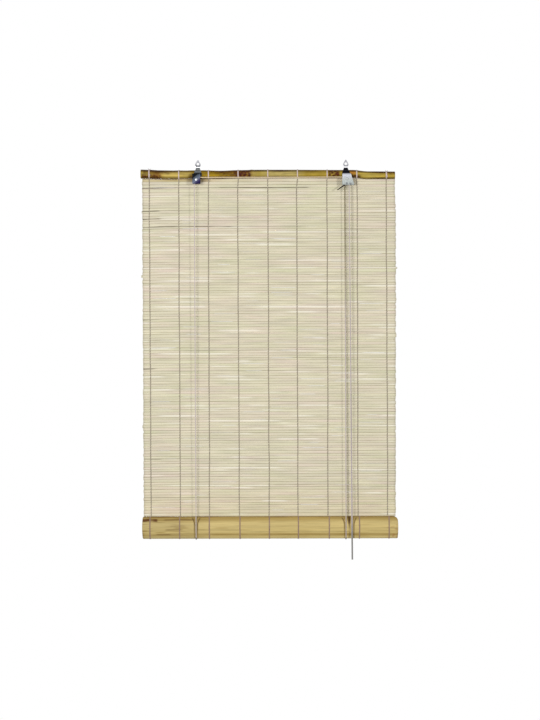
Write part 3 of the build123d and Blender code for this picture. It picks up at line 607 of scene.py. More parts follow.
def make_slats(stations=80):
    points, faces, tints = [], [], []
    for row in range(SLAT_COUNT):
        left, right = slat_ends(row)
        thick = SLAT_HALF_THICKNESS * rng.uniform(0.80, 0.97)
        tilt = rng.gauss(0, 0.02)
        level = rng.gauss(1.0, 0.012)
        first = len(points)
        for station in range(stations + 1):
            x = left + (right - left) * station / stations
            top = edge_z(row, x) - edge_gap(row, x)
            low = edge_z(row + 1, x) + edge_gap(row + 1, x)
            middle = (top + low) / 2
            high_shoulder, low_shoulder = top - SLAT_SHOULDER, low + SLAT_SHOULDER
            sway = 0.10 * wander(row + 900, x, 90)
            section = [(-SLAT_EDGE, top), (-thick, high_shoulder), (-thick - SLAT_CROWN, middle),
                       (-thick, low_shoulder), (-SLAT_EDGE, low), (SLAT_EDGE, low), (thick, low_shoulder),
                       (thick, high_shoulder), (SLAT_EDGE, top)]
            slat = slat_tint(row, x, level)
            upper, high, lower = groove_shade_tint(row, x, slat), slat, groove_shade_tint(row + 1, x, slat)
            # The first slat carries the pole's painted shadow
            if row == 0:
                upper, high, slat, lower = first_slat_tints(slat, lower, x)
            # Painted highlights along the crest, and fainter on the middle of the face
            highlight = painted_highlight_share(row, x)
            crest = mix(high, SLAT_PAINTED_HIGHLIGHT, highlight)
            # Painted shade on the crest beside the darkest lines between slats
            crest = mix(crest, PAINTED_DEEP_SHADE, 0.8 * smooth(0.5, 1.0, shade_line_share(row, x)))
            belly = mix(slat, SLAT_PAINTED_HIGHLIGHT, 0.4 * highlight)
            tints += [upper, crest, belly, slat, lower, lower, slat, high, upper]
            points += [(x, y + sway + (z - middle) * tilt, z) for y, z in section]
        faces += rings_to_faces(first, stations + 1, len(section))
    made = piece("woven_slats", points, faces, SLATS, "head", "slat_bamboo", "slat_mat", tints)
    shorten(made, edge_z(0, POLE_CENTRE), edge_z(SLAT_COUNT, POLE_CENTRE))


# Warp strings: two threads that change sides between slats
# Each string's shift aside at its top and at its bottom, in millimetres
STRING_LEANS = [(0.0, 2.4), (-0.6, 1.4), (-0.8, 0.5), (-1.4, 1.1), (0.0, 1.4), (-2.0, -0.8), (-0.3, 0.2),
                (1.0, 0.9), (-0.2, 0.9)]
STRING_STEPS = 8
STRING_WIDE = 1.15
STRING_THIN = 0.36
STRING_DEPTH = 1.56
STRING_SWING = 0.30
STRING_STRAY = 0.9
# The power that makes a thread lie flat on a slat and change sides quickly
STRING_FLATNESS = 0.12


def make_warp_string(number, x):
    shape = [], []
    first, last = STRING_LEANS[number - 1]
    count = SLAT_COUNT * STRING_STEPS
    for thread in (1, -1):
        path = []
        for step in range(count + 1):
            turn = pi * (step / STRING_STEPS - 0.5)
            swing = cos(turn)
            deep = copysign(abs(swing) ** STRING_FLATNESS, swing) * thread
            share = step / count
            z = STRING_TOP + (STRING_BOTTOM - STRING_TOP) * share
            aside = (first + (last - first) * share) * smooth(0.0, 0.03, share)
            aside += STRING_STRAY * wander(number + 60, z, 90) - STRING_SWING * sin(turn) * thread
            path.append(Vector((x + aside, -STRING_DEPTH * deep, z)))
        tube(shape, path, STRING_WIDE, STRING_THIN)
    made = piece(f"twined_string_{number}", *shape, WARP, "head", "string", f"warp_string_{number}")
    shorten(made, STRING_TOP, STRING_BOTTOM)


# Head pole
POLE_DARK, POLE_AMBER, POLE_HONEY = srgb(158, 114, 32), srgb(154, 124, 22), srgb(172, 145, 54)
POLE_GOLD, POLE_STRAW, POLE_SAND = srgb(188, 165, 76), srgb(198, 172, 90), srgb(190, 170, 100)
# The third colour is that of the painted shade along the culm's top and bottom
POLE_BURNT, POLE_ORANGE, POLE_RIM_SHADE = srgb(72, 20, 8), srgb(200, 100, 26), srgb(70, 42, 2)
POLE_CUT = srgb(196, 170, 112)
# Colours along the culm, with places in millimetres
POLE_COLOURS = [
    (-308, POLE_GOLD), (-290, POLE_HONEY), (-268, POLE_DARK), (-252, POLE_STRAW), (-196, POLE_STRAW),
    (-184, POLE_AMBER), (-110, POLE_AMBER), (-58, POLE_DARK), (-42, POLE_STRAW), (-30, POLE_GOLD),
    (-2, POLE_SAND), (52, POLE_SAND), (80, POLE_HONEY), (180, POLE_HONEY), (230, POLE_GOLD),
    (290, POLE_HONEY),
]
POLE_UNEVEN = 0.10
POLE_EDGE_LENGTH = 0.4
POLE_EDGE_DEPTH = 0.6
BORE_END_RADIUS = 0.05
# Burnt patches: (start, end, strength, side), where side is 1 on top, -1 below and 0 all round
BURNT_PATCHES = [(-308, -268, 0.3, 0), (-302, -264, 1.0, -1), (-300, -240, 0.5, 1), (-192, -184, 0.6, -1),
                 (-130, -52, 0.6, 1), (-86, -53, 1.0, 0), (-120, -80, 0.4, 0), (137, 155, 0.95, 0),
                 (184, 204, 0.8, -1), (278, 290, 0.5, 1)]


def colour_along(keys, x):
    """Colour at x on a line of (place, colour) keys."""
    for (low, first), (high, second) in zip(keys, keys[1:]):
        if x < high:
            return mix(first, second, (x - low) / (high - low))
    return keys[-1][1]


def pole_tint(x, up):
    """Colour of the culm at x, with painted shade along its top and bottom. up is 1 on top of the pole and -1
    below.
    """
    base = colour_along(POLE_COLOURS, x)
    burnt = 0.0
    for low, high, strength, side in BURNT_PATCHES:
        reach = 1.0 if side == 0 else smooth(-0.25, 0.55, up * side)
        speckle = 0.86 + 1.4 * noise.noise(Vector((x / 5.5, up * 2.6, low)))
        burnt = max(burnt, strength * reach * window(low, high, 7, x) * speckle)
    base = mix(base, POLE_ORANGE, 0.5 * window(186, 194, 5, x) * smooth(-0.6, 0.2, up))
    base = mix(base, POLE_BURNT, burnt)
    # Painted shade: darker towards the top and bottom of the culm
    rim_shade = max(0.95 * smooth(0.18, 0.66, up), 0.7 * smooth(0.38, 0.85, -up)) * (0.85 + 0.5 * wander(21, x, 30))
    return mix(base, POLE_RIM_SHADE, rim_shade)


def joint_swell(x):
    """How far the culm joint stands out at x: two ridges with a dip between them."""
    away = abs(x - JOINT_X)
    if away < DIAPHRAGM / 2:
        return JOINT_SWELL * (0.5 + away / DIAPHRAGM)
    return JOINT_SWELL * (1 - smooth(DIAPHRAGM / 2, JOINT_WIDTH / 2, away))


def make_pole(stations=240, sides=56):
    """The culm as rings: out of the left bore, along the outside and into the right bore."""
    wall_left, wall_right = JOINT_X - DIAPHRAGM / 2, JOINT_X + DIAPHRAGM / 2
    left_bore = [(wall_left, BORE_END_RADIUS), (wall_left, POLE_BORE), (POLE_LEFT, POLE_BORE),
                 (POLE_LEFT, pole_radius(POLE_LEFT) - POLE_EDGE_DEPTH)]
    right_bore = [(POLE_RIGHT, pole_radius(POLE_RIGHT) - POLE_EDGE_DEPTH), (POLE_RIGHT, POLE_BORE),
                  (wall_right, POLE_BORE), (wall_right, BORE_END_RADIUS)]
    places = [POLE_LEFT + POLE_LENGTH * station / stations for station in range(stations + 1)]
    outside = [(x, pole_radius(x) + joint_swell(x)) for x in places]
    outside[0] = (POLE_LEFT + POLE_EDGE_LENGTH, outside[0][1])
    outside[-1] = (POLE_RIGHT - POLE_EDGE_LENGTH, outside[-1][1])
    points, tints = [], []
    for rings, uneven in ((left_bore, 0.0), (outside, POLE_UNEVEN), (right_bore, 0.0)):
        for x, radius in rings:
            cut = mix(POLE_CUT, POLE_BURNT, 0.35 if radius <= POLE_BORE else 0.1)
            for angle in circle(sides):
                side, up = cos(angle), sin(angle)
                reach = radius + uneven * noise.noise(Vector((x / 60, 1.6 * side, 1.6 * up)))
                points.append((x, reach * side, POLE_Z + pole_bow(x) + reach * up))
                tints.append(pole_tint(x, up) if uneven else cut)
    faces = rings_to_faces(0, len(points) // sides, sides)
    piece("bamboo_head_pole", points, faces, POLE, "head", "pole_bamboo", "head_pole", tints)


# Bottom rail
RAIL_MAIN, RAIL_DEEP, RAIL_BURNT = srgb(204, 182, 119), srgb(150, 122, 58), srgb(98, 60, 14)
# The last of these is the colour of painted cord shadows
RAIL_EDGE_LIGHT, RAIL_RED, RAIL_CORD_SHADOW = srgb(186, 174, 130), srgb(150, 92, 50), srgb(84, 56, 10)
# How far each tie sits aside of its string
RAIL_TIE_SHIFTS = (0, 0, 0, 2.2, 1.5, 0, 2.8, 4.0, 3.8)
# Painted shadows of the cords on the rail: (place of the cord, side of it)
CORD_SHADOW_LINES = [(LEFT_LOOP_X, -1), (LEFT_LOOP_X, 1), (RIGHT_LOOP_X, -1), (PULL_ENDS[1][0], 1)]
# Middle of the painted wedge of shadow between the right cords
CORD_SHADOW_WEDGE_X = 179.3
# Brown streaks in the lath: (start, end, depth below its top, strength)
RAIL_STREAKS = [(-250, -192, 7.5, 0.8), (-246, -218, 30.5, 0.8), (-268, -245, 41.5, 0.7),
                (-236, -212, 22.0, 0.4)]
# Worn edges of the lath: the share of each curve that is left, and how far the edges step in
FRONT_CURVE_SHARE = 0.985
BACK_CURVE_SHARE = 0.975
FRONT_EDGE = 0.9
BACK_EDGE = 0.8
# Ends of the lath: their bulge and the radii of their corners
RAIL_END_BULGE = 1.2
LEFT_TOP_CORNER = 3.0
RIGHT_TOP_CORNER = 10.0
LOW_CORNER = 2.5
RAIL_LUMPS = 0.16


def rail_arc(radius, angle):
    """Point in (y, z) on a curve of the lath. The angle is 0 at half height and grows upwards."""
    return RAIL_AXIS_Y - radius * cos(angle), RAIL_MIDDLE + radius * sin(angle)


def rail_section(front=52, back=14):
    """Points round the lath's section in (y, z): down the front and up the back."""
    outer, inner = FRONT_CURVE_SHARE * OUTER_ANGLE, BACK_CURVE_SHARE * INNER_ANGLE
    section = [rail_arc(RAIL_OUTER, outer * (1 - 2 * i / front)) for i in range(front + 1)]
    front_y, back_y = section[0][0] + FRONT_EDGE, RAIL_BACK_Y - BACK_EDGE
    section += [(front_y, RAIL_BOTTOM), (back_y, RAIL_BOTTOM)]
    section += [rail_arc(RAIL_INNER, inner * (2 * i / back - 1)) for i in range(back + 1)]
    return section + [(back_y, RAIL_TOP), (front_y, RAIL_TOP)]


def corner_inset(z, radius, at_top):
    """How far an end is cut in at a height, for a round corner of that radius."""
    reach = (z - (RAIL_TOP - radius)) if at_top else ((RAIL_BOTTOM + radius) - z)
    if reach <= 0:
        return 0.0
    reach = min(reach, radius)
    return radius - sqrt(radius * radius - reach * reach)


def painted_cord_shadow(x, down):
    """How dark the painted cord shadows on the rail are: lines that close in on the cords, and a wedge at the
    right.
    """
    share = 0.0
    for place, side in CORD_SHADOW_LINES:
        aside = 3.4 + 8.0 * max(0.0, 1 - down / 20) ** 2
        line = 1 - smooth(0.6, 2.3, abs((x - place) * side - aside))
        share = max(share, 0.85 * line * smooth(1.0, 5.0, down) * (1 - 0.5 * smooth(18, 48, down)))
    half = 2.7 - 1.7 * smooth(6, 30, down)
    wedge = 1 - smooth(half - 0.6, half + 0.9, abs(x - CORD_SHADOW_WEDGE_X))
    return max(share, wedge * (1.0 - 0.6 * smooth(10, 34, down)))


def rail_tint(x, y, z):
    """Colour of the lath: dark along its top, with streaks, burnt spots and painted cord shadows."""
    down = RAIL_TOP - z
    tint = mix(RAIL_MAIN, RAIL_DEEP, 0.7 * (1 - smooth(4, 14, down + 3 * wander(3, x, 140))))
    line = window(40.5, 43.0, 3, down + 1.4 * wander(5, x, 200)) * (0.75 + 0.5 * wander(6, x, 70))
    tint = mix(tint, RAIL_DEEP, (0.45 + 0.45 * smooth(-170, -130, x)) * line)
    tint = mix(tint, RAIL_EDGE_LIGHT, 0.5 * smooth(47, 51, down))
    streak = smooth(0.12, 0.5, noise.noise(Vector((x / 48, down / 2.3, 8.0))))
    tint = mix(tint, RAIL_DEEP, streak * (0.30 + 0.55 * (1 - smooth(-290, -150, x))))
    for start, end, depth, strength in RAIL_STREAKS:
        near = 1 - smooth(0.6, 2.2, abs(down - depth + 1.2 * wander(15, x, 40)))
        tint = mix(tint, RAIL_BURNT, 0.7 * strength * near * window(start, end, 10, x))
    red = smooth(0.15, 0.45, noise.noise(Vector((x / 7, down / 4.5, 2.0)))) * smooth(262, 288, x)
    tint = mix(tint, RAIL_RED, 0.45 * red)
    burnt = window(-303, -274, 6, x) * window(6.5, 10.5, 2, down + 2.5 * wander(12, x, 14))
    tint = mix(tint, RAIL_BURNT, 0.95 * burnt * (1.0 + 0.8 * wander(11, x, 9)))
    # Painted cord shadows, on the front face only
    if hypot(y - RAIL_AXIS_Y, z - RAIL_MIDDLE) > (RAIL_OUTER + RAIL_INNER) / 2:
        tint = mix(tint, RAIL_CORD_SHADOW, painted_cord_shadow(x, down))
    crown = 1 - smooth(0.6, 3.0, down)
    tint = mix(tint, RAIL_BURNT, crown * (0.45 + 0.5 * wander(14, x, 45)))
    end = max(1 - smooth(0, 6, x - RAIL_LEFT), 1 - smooth(0, 6, RAIL_RIGHT - x))
    tint = mix(tint, RAIL_BURNT, 0.4 * end * (0.6 + wander(13, z, 9)))
    return tuple(c * (1 - 0.13 * (1 - smooth(-240, -120, x))) for c in tint)


def make_rail(stations=400):
    section = rail_section()
    points, tints = [], []
    for station in range(stations + 1):
        for y, z in section:
            inset = RAIL_END_BULGE * ((z - RAIL_MIDDLE) / RAIL_HALF) ** 2 + corner_inset(z, LOW_CORNER, False)
            left = RAIL_LEFT + inset + corner_inset(z, LEFT_TOP_CORNER, True)
            right = RAIL_RIGHT - inset - corner_inset(z, RIGHT_TOP_CORNER, True)
            x = left + (right - left) * station / stations
            lump = RAIL_LUMPS * noise.noise(Vector((x / 85, z / 22, 4.0)))
            points.append((x, y - lump, z))
            tints.append(rail_tint(x, y, z))
    faces = rings_to_faces(0, stations + 1, len(section))
    piece("bamboo_bottom_rail", points, faces, RAIL, "rail", "rail_bamboo", "bottom_rail", tints)


# Ties
TIE_TURNS = 3
TIE_STEPS = 40
TIE_STAND = 0.55
TIE_WIDE = 0.60
TIE_THIN = 0.46
TIE_DROP_THIN = 0.45
TIE_DROP_OVERLAP = 0.2
TIE_SPREAD = 2.1
OUTER_TIE_SPREAD = 3.0
TAIL_RADIUS = 0.5
# Each tail's lean aside and its rise
TIE_TAILS = ((-1.2, 5.5), (1.4, 4.0))
KNOT_RADIUS = 0.62
LOW_KNOT_RADIUS = 0.8
RAIL_TIE_SPREAD = 0.72
RAIL_TIE_WIDE = 0.66
RAIL_TIE_THIN = 0.4
# Heights of the rail ties' middle lines over the front, back and edges of the lath
RAIL_TIE_FRONT = 0.5
RAIL_TIE_BACK = 0.45
RAIL_TIE_EDGE = 0.42
RAIL_TIE_CORNER = 0.3
RAIL_TIE_PULL = 0.1


def front_knot(x, radius, centre_z):
    """Middle line of the knot in front of the pole."""
    return [Vector((x + 1.7 * cos(a) * (1 + 0.3 * cos(3 * a)),
                    -radius - 0.3 - 0.6 * sin(2 * a), centre_z - 2.6 + 2.0 * sin(a)))
            for a in circle(24)]


def low_knot(x, radius, centre_z):
    """Middle line of the knot at the pole's lower front."""
    return [Vector((x + 0.9 * cos(a), -0.72 * radius + 0.5 * sin(3 * a),
                    centre_z - 0.80 * radius + 1.3 * sin(a))) for a in circle(20)]


def make_head_tie(number, x):
    """Three turns of string round the pole and a drop to the mat. Outer ties also have tails and knots."""
    shape = [], []
    radius = pole_radius(x) + TIE_STAND
    centre_z = POLE_Z + pole_bow(x)
    outer = number in (1, STRING_COUNT)
    spread = OUTER_TIE_SPREAD if outer else TIE_SPREAD
    count = TIE_TURNS * TIE_STEPS
    path = []
    for step in range(count + 1):
        angle = tau * step / TIE_STEPS + pi / 2
        aside = (step / count - 0.5) * spread + 0.14 * wander(number, step, 9)
        path.append(Vector((x + aside, radius * cos(angle), centre_z + radius * sin(angle))))
    tube(shape, path, TIE_WIDE, TIE_THIN)
    low = centre_z - radius
    drop = STRING_TOP - TIE_DROP_OVERLAP - low
    hang = [Vector((x + 0.3 * sin(5 * share), -0.4 * cos(3 * share), low + drop * share))
            for share in [step / 8 for step in range(9)]]
    tube(shape, hang, TIE_WIDE, TIE_DROP_THIN)
    if outer:
        for lean, rise in TIE_TAILS:
            tail = [Vector((x + 2.2 * lean * share, -radius * cos(0.9 + 0.75 * share) - 0.4,
                            centre_z + radius * sin(0.9 + 0.5 * share) + 0.5 * rise * share * share))
                    for share in (0, 0.33, 0.66, 1.0)]
            tube(shape, tail, TAIL_RADIUS)
        knot = front_knot(x, radius, centre_z)
        tube(shape, knot, KNOT_RADIUS, side_hint=INWARD, closed=True)
    piece(f"head_tie_wrap_{number}", *shape, TIE, "head", "string", f"head_tie_{number}")
    if outer:
        shape = [], []
        knot = low_knot(x, radius, centre_z)
        tube(shape, knot, LOW_KNOT_RADIUS, side_hint=INWARD, closed=True)
        piece(f"head_tie_knot_{number}", *shape, WARP, "head", "string")


def make_rail_tie(number, x):
    """String round the rail: two turns that lie on its section."""
    over, under = RAIL_TOP + RAIL_TIE_EDGE, RAIL_BOTTOM - RAIL_TIE_EDGE
    front = [rail_arc(RAIL_OUTER + RAIL_TIE_FRONT, OUTER_ANGLE * (1 - i / 7)) for i in range(15)]
    front[0] = (front[0][0] + RAIL_TIE_PULL, over)
    front[-1] = (front[-1][0] + RAIL_TIE_PULL, under)
    back = [rail_arc(RAIL_INNER - RAIL_TIE_BACK, INNER_ANGLE * (i / 5 - 1)) for i in range(11)]
    corner_y = RAIL_BACK_Y + RAIL_TIE_CORNER
    line = front + [(corner_y, under)] + back + [(corner_y, over)]
    shape = [], []
    for aside in (-RAIL_TIE_SPREAD, RAIL_TIE_SPREAD):
        path = [Vector((x + aside + 0.25 * wander(number + aside, i, 4), y, z))
                for i, (y, z) in enumerate(line)]
        tube(shape, path, RAIL_TIE_WIDE, RAIL_TIE_THIN, closed=True)
    piece(f"rail_tie_wrap_{number}", *shape, RAIL_TIE, "rail", "string", f"rail_tie_{number}")


# Cords: three strands twisted along a smooth line
def spline_points(route):
    """Points read from the NURBS spline that has the route as its control points."""
    curve = bpy.data.curves.new("route", "CURVE")
    curve.dimensions = "3D"
    curve.resolution_u = 24
    spline = curve.splines.new("NURBS")
    spline.points.add(len(route) - 1)
    for point, place in zip(spline.points, route):
        point.co = (*[c * MM for c in place], 1.0)
    spline.order_u = 3
    spline.use_endpoint_u = True
    holder = add_object("route", curve)
    bpy.context.view_layer.update()
    mesh = bpy.data.meshes.new_from_object(holder)
    found = [v.co / MM for v in mesh.vertices]
    bpy.data.objects.remove(holder)
    bpy.data.curves.remove(curve)
    bpy.data.meshes.remove(mesh)
    return found


def along_line(line, step):
    """Evenly spaced points on a line of points, with both its ends."""
    lengths = [0.0]
    for a, b in zip(line, line[1:]):
        lengths.append(lengths[-1] + (b - a).length)
    count = max(2, round(lengths[-1] / step))
    found, segment = [], 0
    for i in range(count + 1):
        target = lengths[-1] * i / count
        while segment < len(line) - 2 and lengths[segment + 1] < target:
            segment += 1
        span = max(1e-9, lengths[segment + 1] - lengths[segment])
        found.append(line[segment].lerp(line[segment + 1], min(1.0, (target - lengths[segment]) / span)))
    return found, lengths[-1]


# Colours of cords by height, from the lowest up
CORD_PALE, CORD_GREY, CORD_DARK = srgb(206, 195, 193), srgb(158, 156, 152), srgb(60, 54, 48)
# Tones of the painted shadow on the upper part of the right front cord, darkest near the wheel
CORD_SHADOW_DARK, CORD_HALF_SHADOW = srgb(116, 104, 64), srgb(158, 147, 120)
FRONT_CORD_SHADOW = [(RAIL_TOP, CORD_PALE), (-390, CORD_PALE), (-250, CORD_HALF_SHADOW), (-160, CORD_SHADOW_DARK),
              (WHEEL_Z, CORD_SHADOW_DARK)]
# Loops darker where they turn under the rail, and pull strands grey below the rail
LOOP_TONES = [(RAIL_BOTTOM - 3, CORD_DARK), (RAIL_BOTTOM + 0.5, CORD_DARK), (RAIL_BOTTOM + 4, CORD_PALE)]
PULL_TONES = [(PULL_ENDS[0][2], CORD_GREY), (RAIL_BOTTOM, CORD_GREY), (RAIL_TOP, CORD_PALE)]
STRANDS = 3
STRAND_RADIUS = CORD_RADIUS / 2
# Length of one turn of a strand, and of a step along the rope
CORD_LAY = 8.5
CORD_STEP = 1.1
# Strands are counted from behind a rope, or from this side of one that drops further than LONG_DROP
LONG_DROP_SIDE = Vector((0.31, 0.95, 0.0))
LONG_DROP = 100
# Gap between the ends of two cord pieces
RUN_GAP = 0.05


def make_rope(name, route, body, replaced, material=CORD, height_tones=None, squashed=None):
    """A rope along a route, coloured by height from a list where one is given. squashed, the ends of a run,
    gives the piece a mesh of its own.
    """
    path, length = along_line(spline_points(route), CORD_STEP)
    hint = LONG_DROP_SIDE if abs(path[-1].z - path[0].z) > LONG_DROP else INWARD
    last = len(path) - 1
    shape = [], []
    for strand in range(STRANDS):
        strand_path = []
        for i, centre in enumerate(path):
            along = (path[min(i + 1, last)] - path[max(i - 1, 0)]).normalized()
            across = ACROSS
            if abs(hint.dot(along)) < 0.97:
                across = (hint - along * hint.dot(along)).normalized()
            angle = tau * (strand / STRANDS + i * length / last / CORD_LAY)
            way = across * cos(angle) + along.cross(across) * sin(angle)
            strand_path.append(centre + way * STRAND_RADIUS)
        tube(shape, strand_path, STRAND_RADIUS, side_hint=hint)
    tints = [colour_along(height_tones, point.z) for point in shape[0]] if height_tones else None
    made = piece(name, *shape, CORD_BY_HEIGHT if height_tones else material, body, "cord", replaced, tints)
    if squashed:
        shorten(made, *squashed)


def straight_route(top, low):
    """A taut run with one more point about six diameters below its top."""
    top, low = Vector(top), Vector(low)
    near = top.lerp(low, 12 * CORD_RADIUS / (low - top).length)
    return [tuple(top), tuple(near), tuple(low)]


def make_cords():
    back_top, wheel_low, run_low = LIP_TOP - RUN_GAP, WHEEL_Z - RUN_GAP, RAIL_TOP + 3 * RUN_GAP
    face_y = rail_arc(RAIL_OUTER + CORD_STAND, OUTER_ANGLE)[0]
    under = RAIL_BOTTOM - CORD_STAND
    loop = [(LOOP_FRONT_Y, RAIL_TOP), (LOOP_FRONT_Y, RAIL_MIDDLE + 4), (LOOP_FRONT_Y, RAIL_MIDDLE - 9),
            (face_y - 1.6, RAIL_BOTTOM + 4), (face_y - 0.3, under + 0.2), (face_y + 3.4, under),
            (RAIL_BACK_Y - 2.2, under), (LOOP_BACK_Y, under), (LOOP_BACK_Y, under + 3.4),
            (LOOP_BACK_Y, RAIL_TOP)]
    # The right front cord carries a painted shadow on its upper part
    for side, eye_x, cord_x, loop_x, groove_y, height_tones in (
            ("left", LEFT_EYE_X, LEFT_CORD_X, LEFT_LOOP_X, OUTER_Y, None),
            ("right", RIGHT_EYE_X, RIGHT_CORD_X, RIGHT_LOOP_X, INNER_Y, FRONT_CORD_SHADOW)):
        back = straight_route((eye_x, LIP_HOLE_Y, back_top), (loop_x, LOOP_BACK_Y, run_low))
        make_rope(f"{side}_back_cord", back, "head", f"{side}_cord_back_run",
                  squashed=(back_top, run_low))
        front = straight_route((cord_x, groove_y, wheel_low), (loop_x, LOOP_FRONT_Y, run_low))
        make_rope(f"{side}_front_cord", front, "head", f"{side}_cord_front_run", height_tones=height_tones,
                  squashed=(wheel_low, run_low))
        make_rope(f"{side}_rail_loop_cord", [(loop_x, y, z) for y, z in loop], "rail",
                  f"{side}_cord_rail_loop", height_tones=LOOP_TONES)
    cross = [(LEFT_CORD_X, WHEEL_Z), (LEFT_CORD_X, CROSS_Z), (LEFT_CORD_X + 10, CROSS_Z),
             (PULL_X - 10, CROSS_Z), (PULL_X, CROSS_Z), (PULL_X, WHEEL_Z)]
    cross = [(x, OUTER_Y, z) for x, z in cross]
    make_rope("left_cross_cord", cross, "head", "left_cord_cross_run", CROSS_CORD)
    wrap = [(RIGHT_CORD_X, WHEEL_Z), (RIGHT_CORD_X, CROSS_Z), (PULL_X, CROSS_Z), (PULL_X, WHEEL_Z)]
    make_rope("right_wheel_cord", [(x, INNER_Y, z) for x, z in wrap], "head", "right_cord_wheel_wrap")
    for side, groove_y, end in (("left", OUTER_Y, PULL_ENDS[0]), ("right", INNER_Y, PULL_ENDS[1])):
        make_rope(f"{side}_pull_cord", straight_route((PULL_X, groove_y, wheel_low), end), "head",
                  f"{side}_cord_pull_strand", height_tones=PULL_TONES)


# Stopper knots: radii of the knotted cord and of its tail, and height of the middle over the lip
STOPPER_RADIUS = 0.92
STOPPER_TAIL = 0.8
STOPPER_HEIGHT = 1.95


def make_knot(side, x):
    """Overhand stopper knot on the lip of a hanger strap."""
    shape = [], []
    centre = Vector((x, LIP_HOLE_Y, LIP_TOP + STOPPER_HEIGHT))
    path = []
    for angle in circle(60):
        ring = 1.25 + 0.62 * cos(3 * angle)
        path.append(centre + Vector((ring * cos(2 * angle), ring * sin(2 * angle), 0.85 * sin(3 * angle))))
    tube(shape, path, STOPPER_RADIUS, sides=8, side_hint=Vector((0.2, 0.1, 1)), closed=True)
    tail = [centre + Vector((0.6 * s, -0.5 * s, 1.0 + 2.4 * s)) for s in (0, 0.25, 0.5, 0.75, 1.0)]
    tube(shape, tail, STOPPER_TAIL, sides=8)
    piece(f"{side}_stopper_knot", *shape, CORD, "head", "cord", f"{side}_cord_knot")


# Metal and plastic pieces keep their forms and get rounded edges
SHARP_ANGLE = radians(38)
FLAT_ANGLE = radians(1.5)
MERGE_DISTANCE = 0.002
PLATE_EDGE = 0.22
FINE_EDGE = 0.12
# Node, material and width of the rounded edges
METAL_PIECES = [
    ("left_hanger_strap", LEFT_STRAP_PAINTED_LIGHT, PLATE_EDGE), ("right_hanger_strap", RIGHT_STRAP_PAINTED_LIGHT, PLATE_EDGE),
    ("left_pulley_housing", LEFT_HOUSING_PAINTED_LIGHT, PLATE_EDGE), ("right_lock_housing", RIGHT_HOUSING_PAINTED_LIGHT, PLATE_EDGE),
    ("left_cord_wheel", PLASTIC, FINE_EDGE), ("right_cord_wheel", PLASTIC, FINE_EDGE),
    ("left_axle_rivet", WHITE_STEEL, FINE_EDGE), ("right_axle_rivet", BRIGHT_STEEL, FINE_EDGE),
    ("lock_pawl_rivet", STEEL, FINE_EDGE), ("lock_guide_pin", STEEL, FINE_EDGE),
    ("lock_pawl", BLACK_STEEL, FINE_EDGE),
]
NODE_BODIES = {node: body for body, nodes in frame["record"]["behaviour"]["bodies"].items() for node in nodes}


def soften(node, material, width):
    """A copy of a node's mesh with small rounded edges, standing for that node."""
    mesh = frame["nodes"][node].data.copy()
    shape = bmesh.new()
    shape.from_mesh(mesh)
    bmesh.ops.remove_doubles(shape, verts=shape.verts, dist=MERGE_DISTANCE * MM)
    bmesh.ops.dissolve_limit(shape, angle_limit=FLAT_ANGLE, verts=shape.verts, edges=shape.edges)
    shape.to_mesh(mesh)
    shape.free()
    made = add_piece(node + "_finished", mesh, material, NODE_BODIES[node], node)
    bevel = made.modifiers.new("edges", "BEVEL")
    bevel.width = width * MM
    bevel.segments = 2
    bevel.limit_method = "ANGLE"
    bevel.angle_limit = SHARP_ANGLE
    mesh.set_sharp_from_angle(angle=SHARP_ANGLE)


make_slats()
for number, x in enumerate(STRING_XS, start=1):
    make_warp_string(number, x)
    make_head_tie(number, x)
    make_rail_tie(number, x + RAIL_TIE_SHIFTS[number - 1])
make_pole()
make_rail()
make_cords()
make_knot("left", LEFT_EYE_X)
make_knot("right", RIGHT_EYE_X)
for node, material, width in METAL_PIECES:
    soften(node, material, width)


# Camera, light, world and floor, in metres
CAMERA_PLACE = (-0.0055, -4.235, -0.4613)
CAMERA_ROLL = radians(0.15)
LENS_MM = 90
LAMP_AIM = (0, 0, -0.46)
FLOOR_Z = -1.42
FLOOR_RADIUS = 0.56
FLOOR_FADE = (0.15, 0.55)


def add_camera():
    camera = bpy.data.cameras.new("camera")
    camera.lens = LENS_MM
    holder = add_object("camera", camera)
    holder.location = CAMERA_PLACE
    holder.rotation_euler = (pi / 2, CAMERA_ROLL, 0)
    bpy.context.scene.camera = holder


def add_lamp(name, place, size, power):
    lamp = bpy.data.lights.new(name, "AREA")
    lamp.size = size
    lamp.energy = power
    holder = add_object(name, lamp)
    holder.location = place
    holder.rotation_euler = (Vector(LAMP_AIM) - Vector(place)).to_track_quat("-Z", "Y").to_euler()


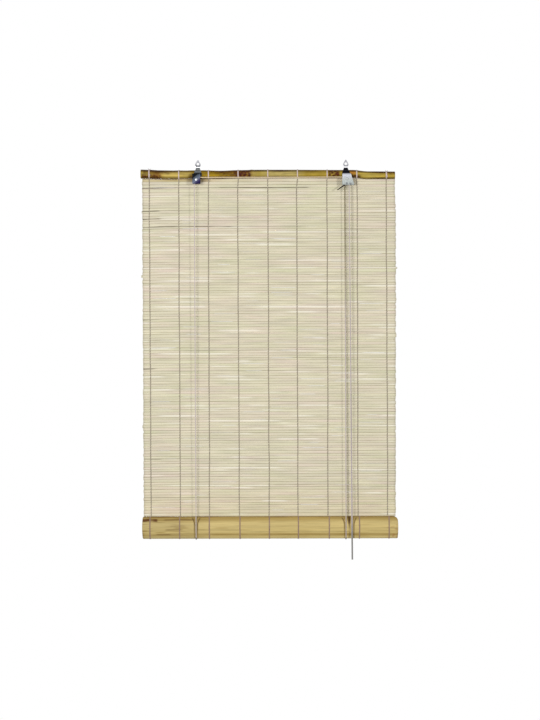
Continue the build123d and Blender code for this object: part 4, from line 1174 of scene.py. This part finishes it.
def add_world(level):
    """White where the camera or a reflection sees it, and a soft even light on the object."""
    world = bpy.data.worlds.new("studio")
    bpy.context.scene.world = world
    world.use_nodes = True
    nodes = Nodes(world.node_tree)
    nodes.tree.nodes.clear()
    path = nodes.node("ShaderNodeLightPath").outputs
    seen = path["Is Camera Ray"]
    for other in ("Is Glossy Ray", "Is Transmission Ray"):
        seen = nodes.node("ShaderNodeMath", {0: seen, 1: path[other]}, operation="MAXIMUM").outputs[0]
    soft = nodes.node("ShaderNodeBackground", {"Color": (1, 1, 1, 1), "Strength": level}).outputs[0]
    white = nodes.node("ShaderNodeBackground", {"Color": (1, 1, 1, 1), "Strength": 1.0}).outputs[0]
    choose = nodes.node("ShaderNodeMixShader", {"Fac": seen, 1: soft, 2: white}).outputs[0]
    nodes.node("ShaderNodeOutputWorld", {"Surface": choose})


def add_floor():
    """A pale round floor that fades out towards its rim."""
    bpy.ops.mesh.primitive_circle_add(vertices=96, radius=FLOOR_RADIUS, fill_type="NGON",
                                      location=(0, 0, FLOOR_Z))
    floor = bpy.context.object
    floor.name = "floor"
    shader = Shader("pale_floor", 0.9, specular=0.1)
    shader.paint((0.92, 0.92, 0.92, 1))
    reach = shader.node("ShaderNodeVectorMath", {0: shader.coords()}, operation="LENGTH").outputs["Value"]
    inputs = {"Value": reach, "From Min": FLOOR_FADE[0], "From Max": FLOOR_FADE[1]}
    fade = shader.node("ShaderNodeMapRange", inputs).outputs["Result"]
    clear = shader.node("ShaderNodeBsdfTransparent").outputs[0]
    choose = shader.node("ShaderNodeMixShader", {"Fac": fade, 1: shader.surface.outputs[0], 2: clear})
    output = [n for n in shader.tree.nodes if n.type == "OUTPUT_MATERIAL"][0]
    shader.feed(output.inputs["Surface"], choose.outputs[0])
    floor.data.materials.append(shader.material)


add_camera()
add_lamp("left_lamp", (-1.25, -3.05, -0.25), 1.20, 65)
add_lamp("right_lamp", (1.90, -2.90, 0.0), 0.45, 41)
add_lamp("back_lamp", (-1.0, 3.3, -0.30), 1.20, 78)
add_world(0.22)
add_floor()
bpy.context.scene.view_settings.view_transform = "Standard"
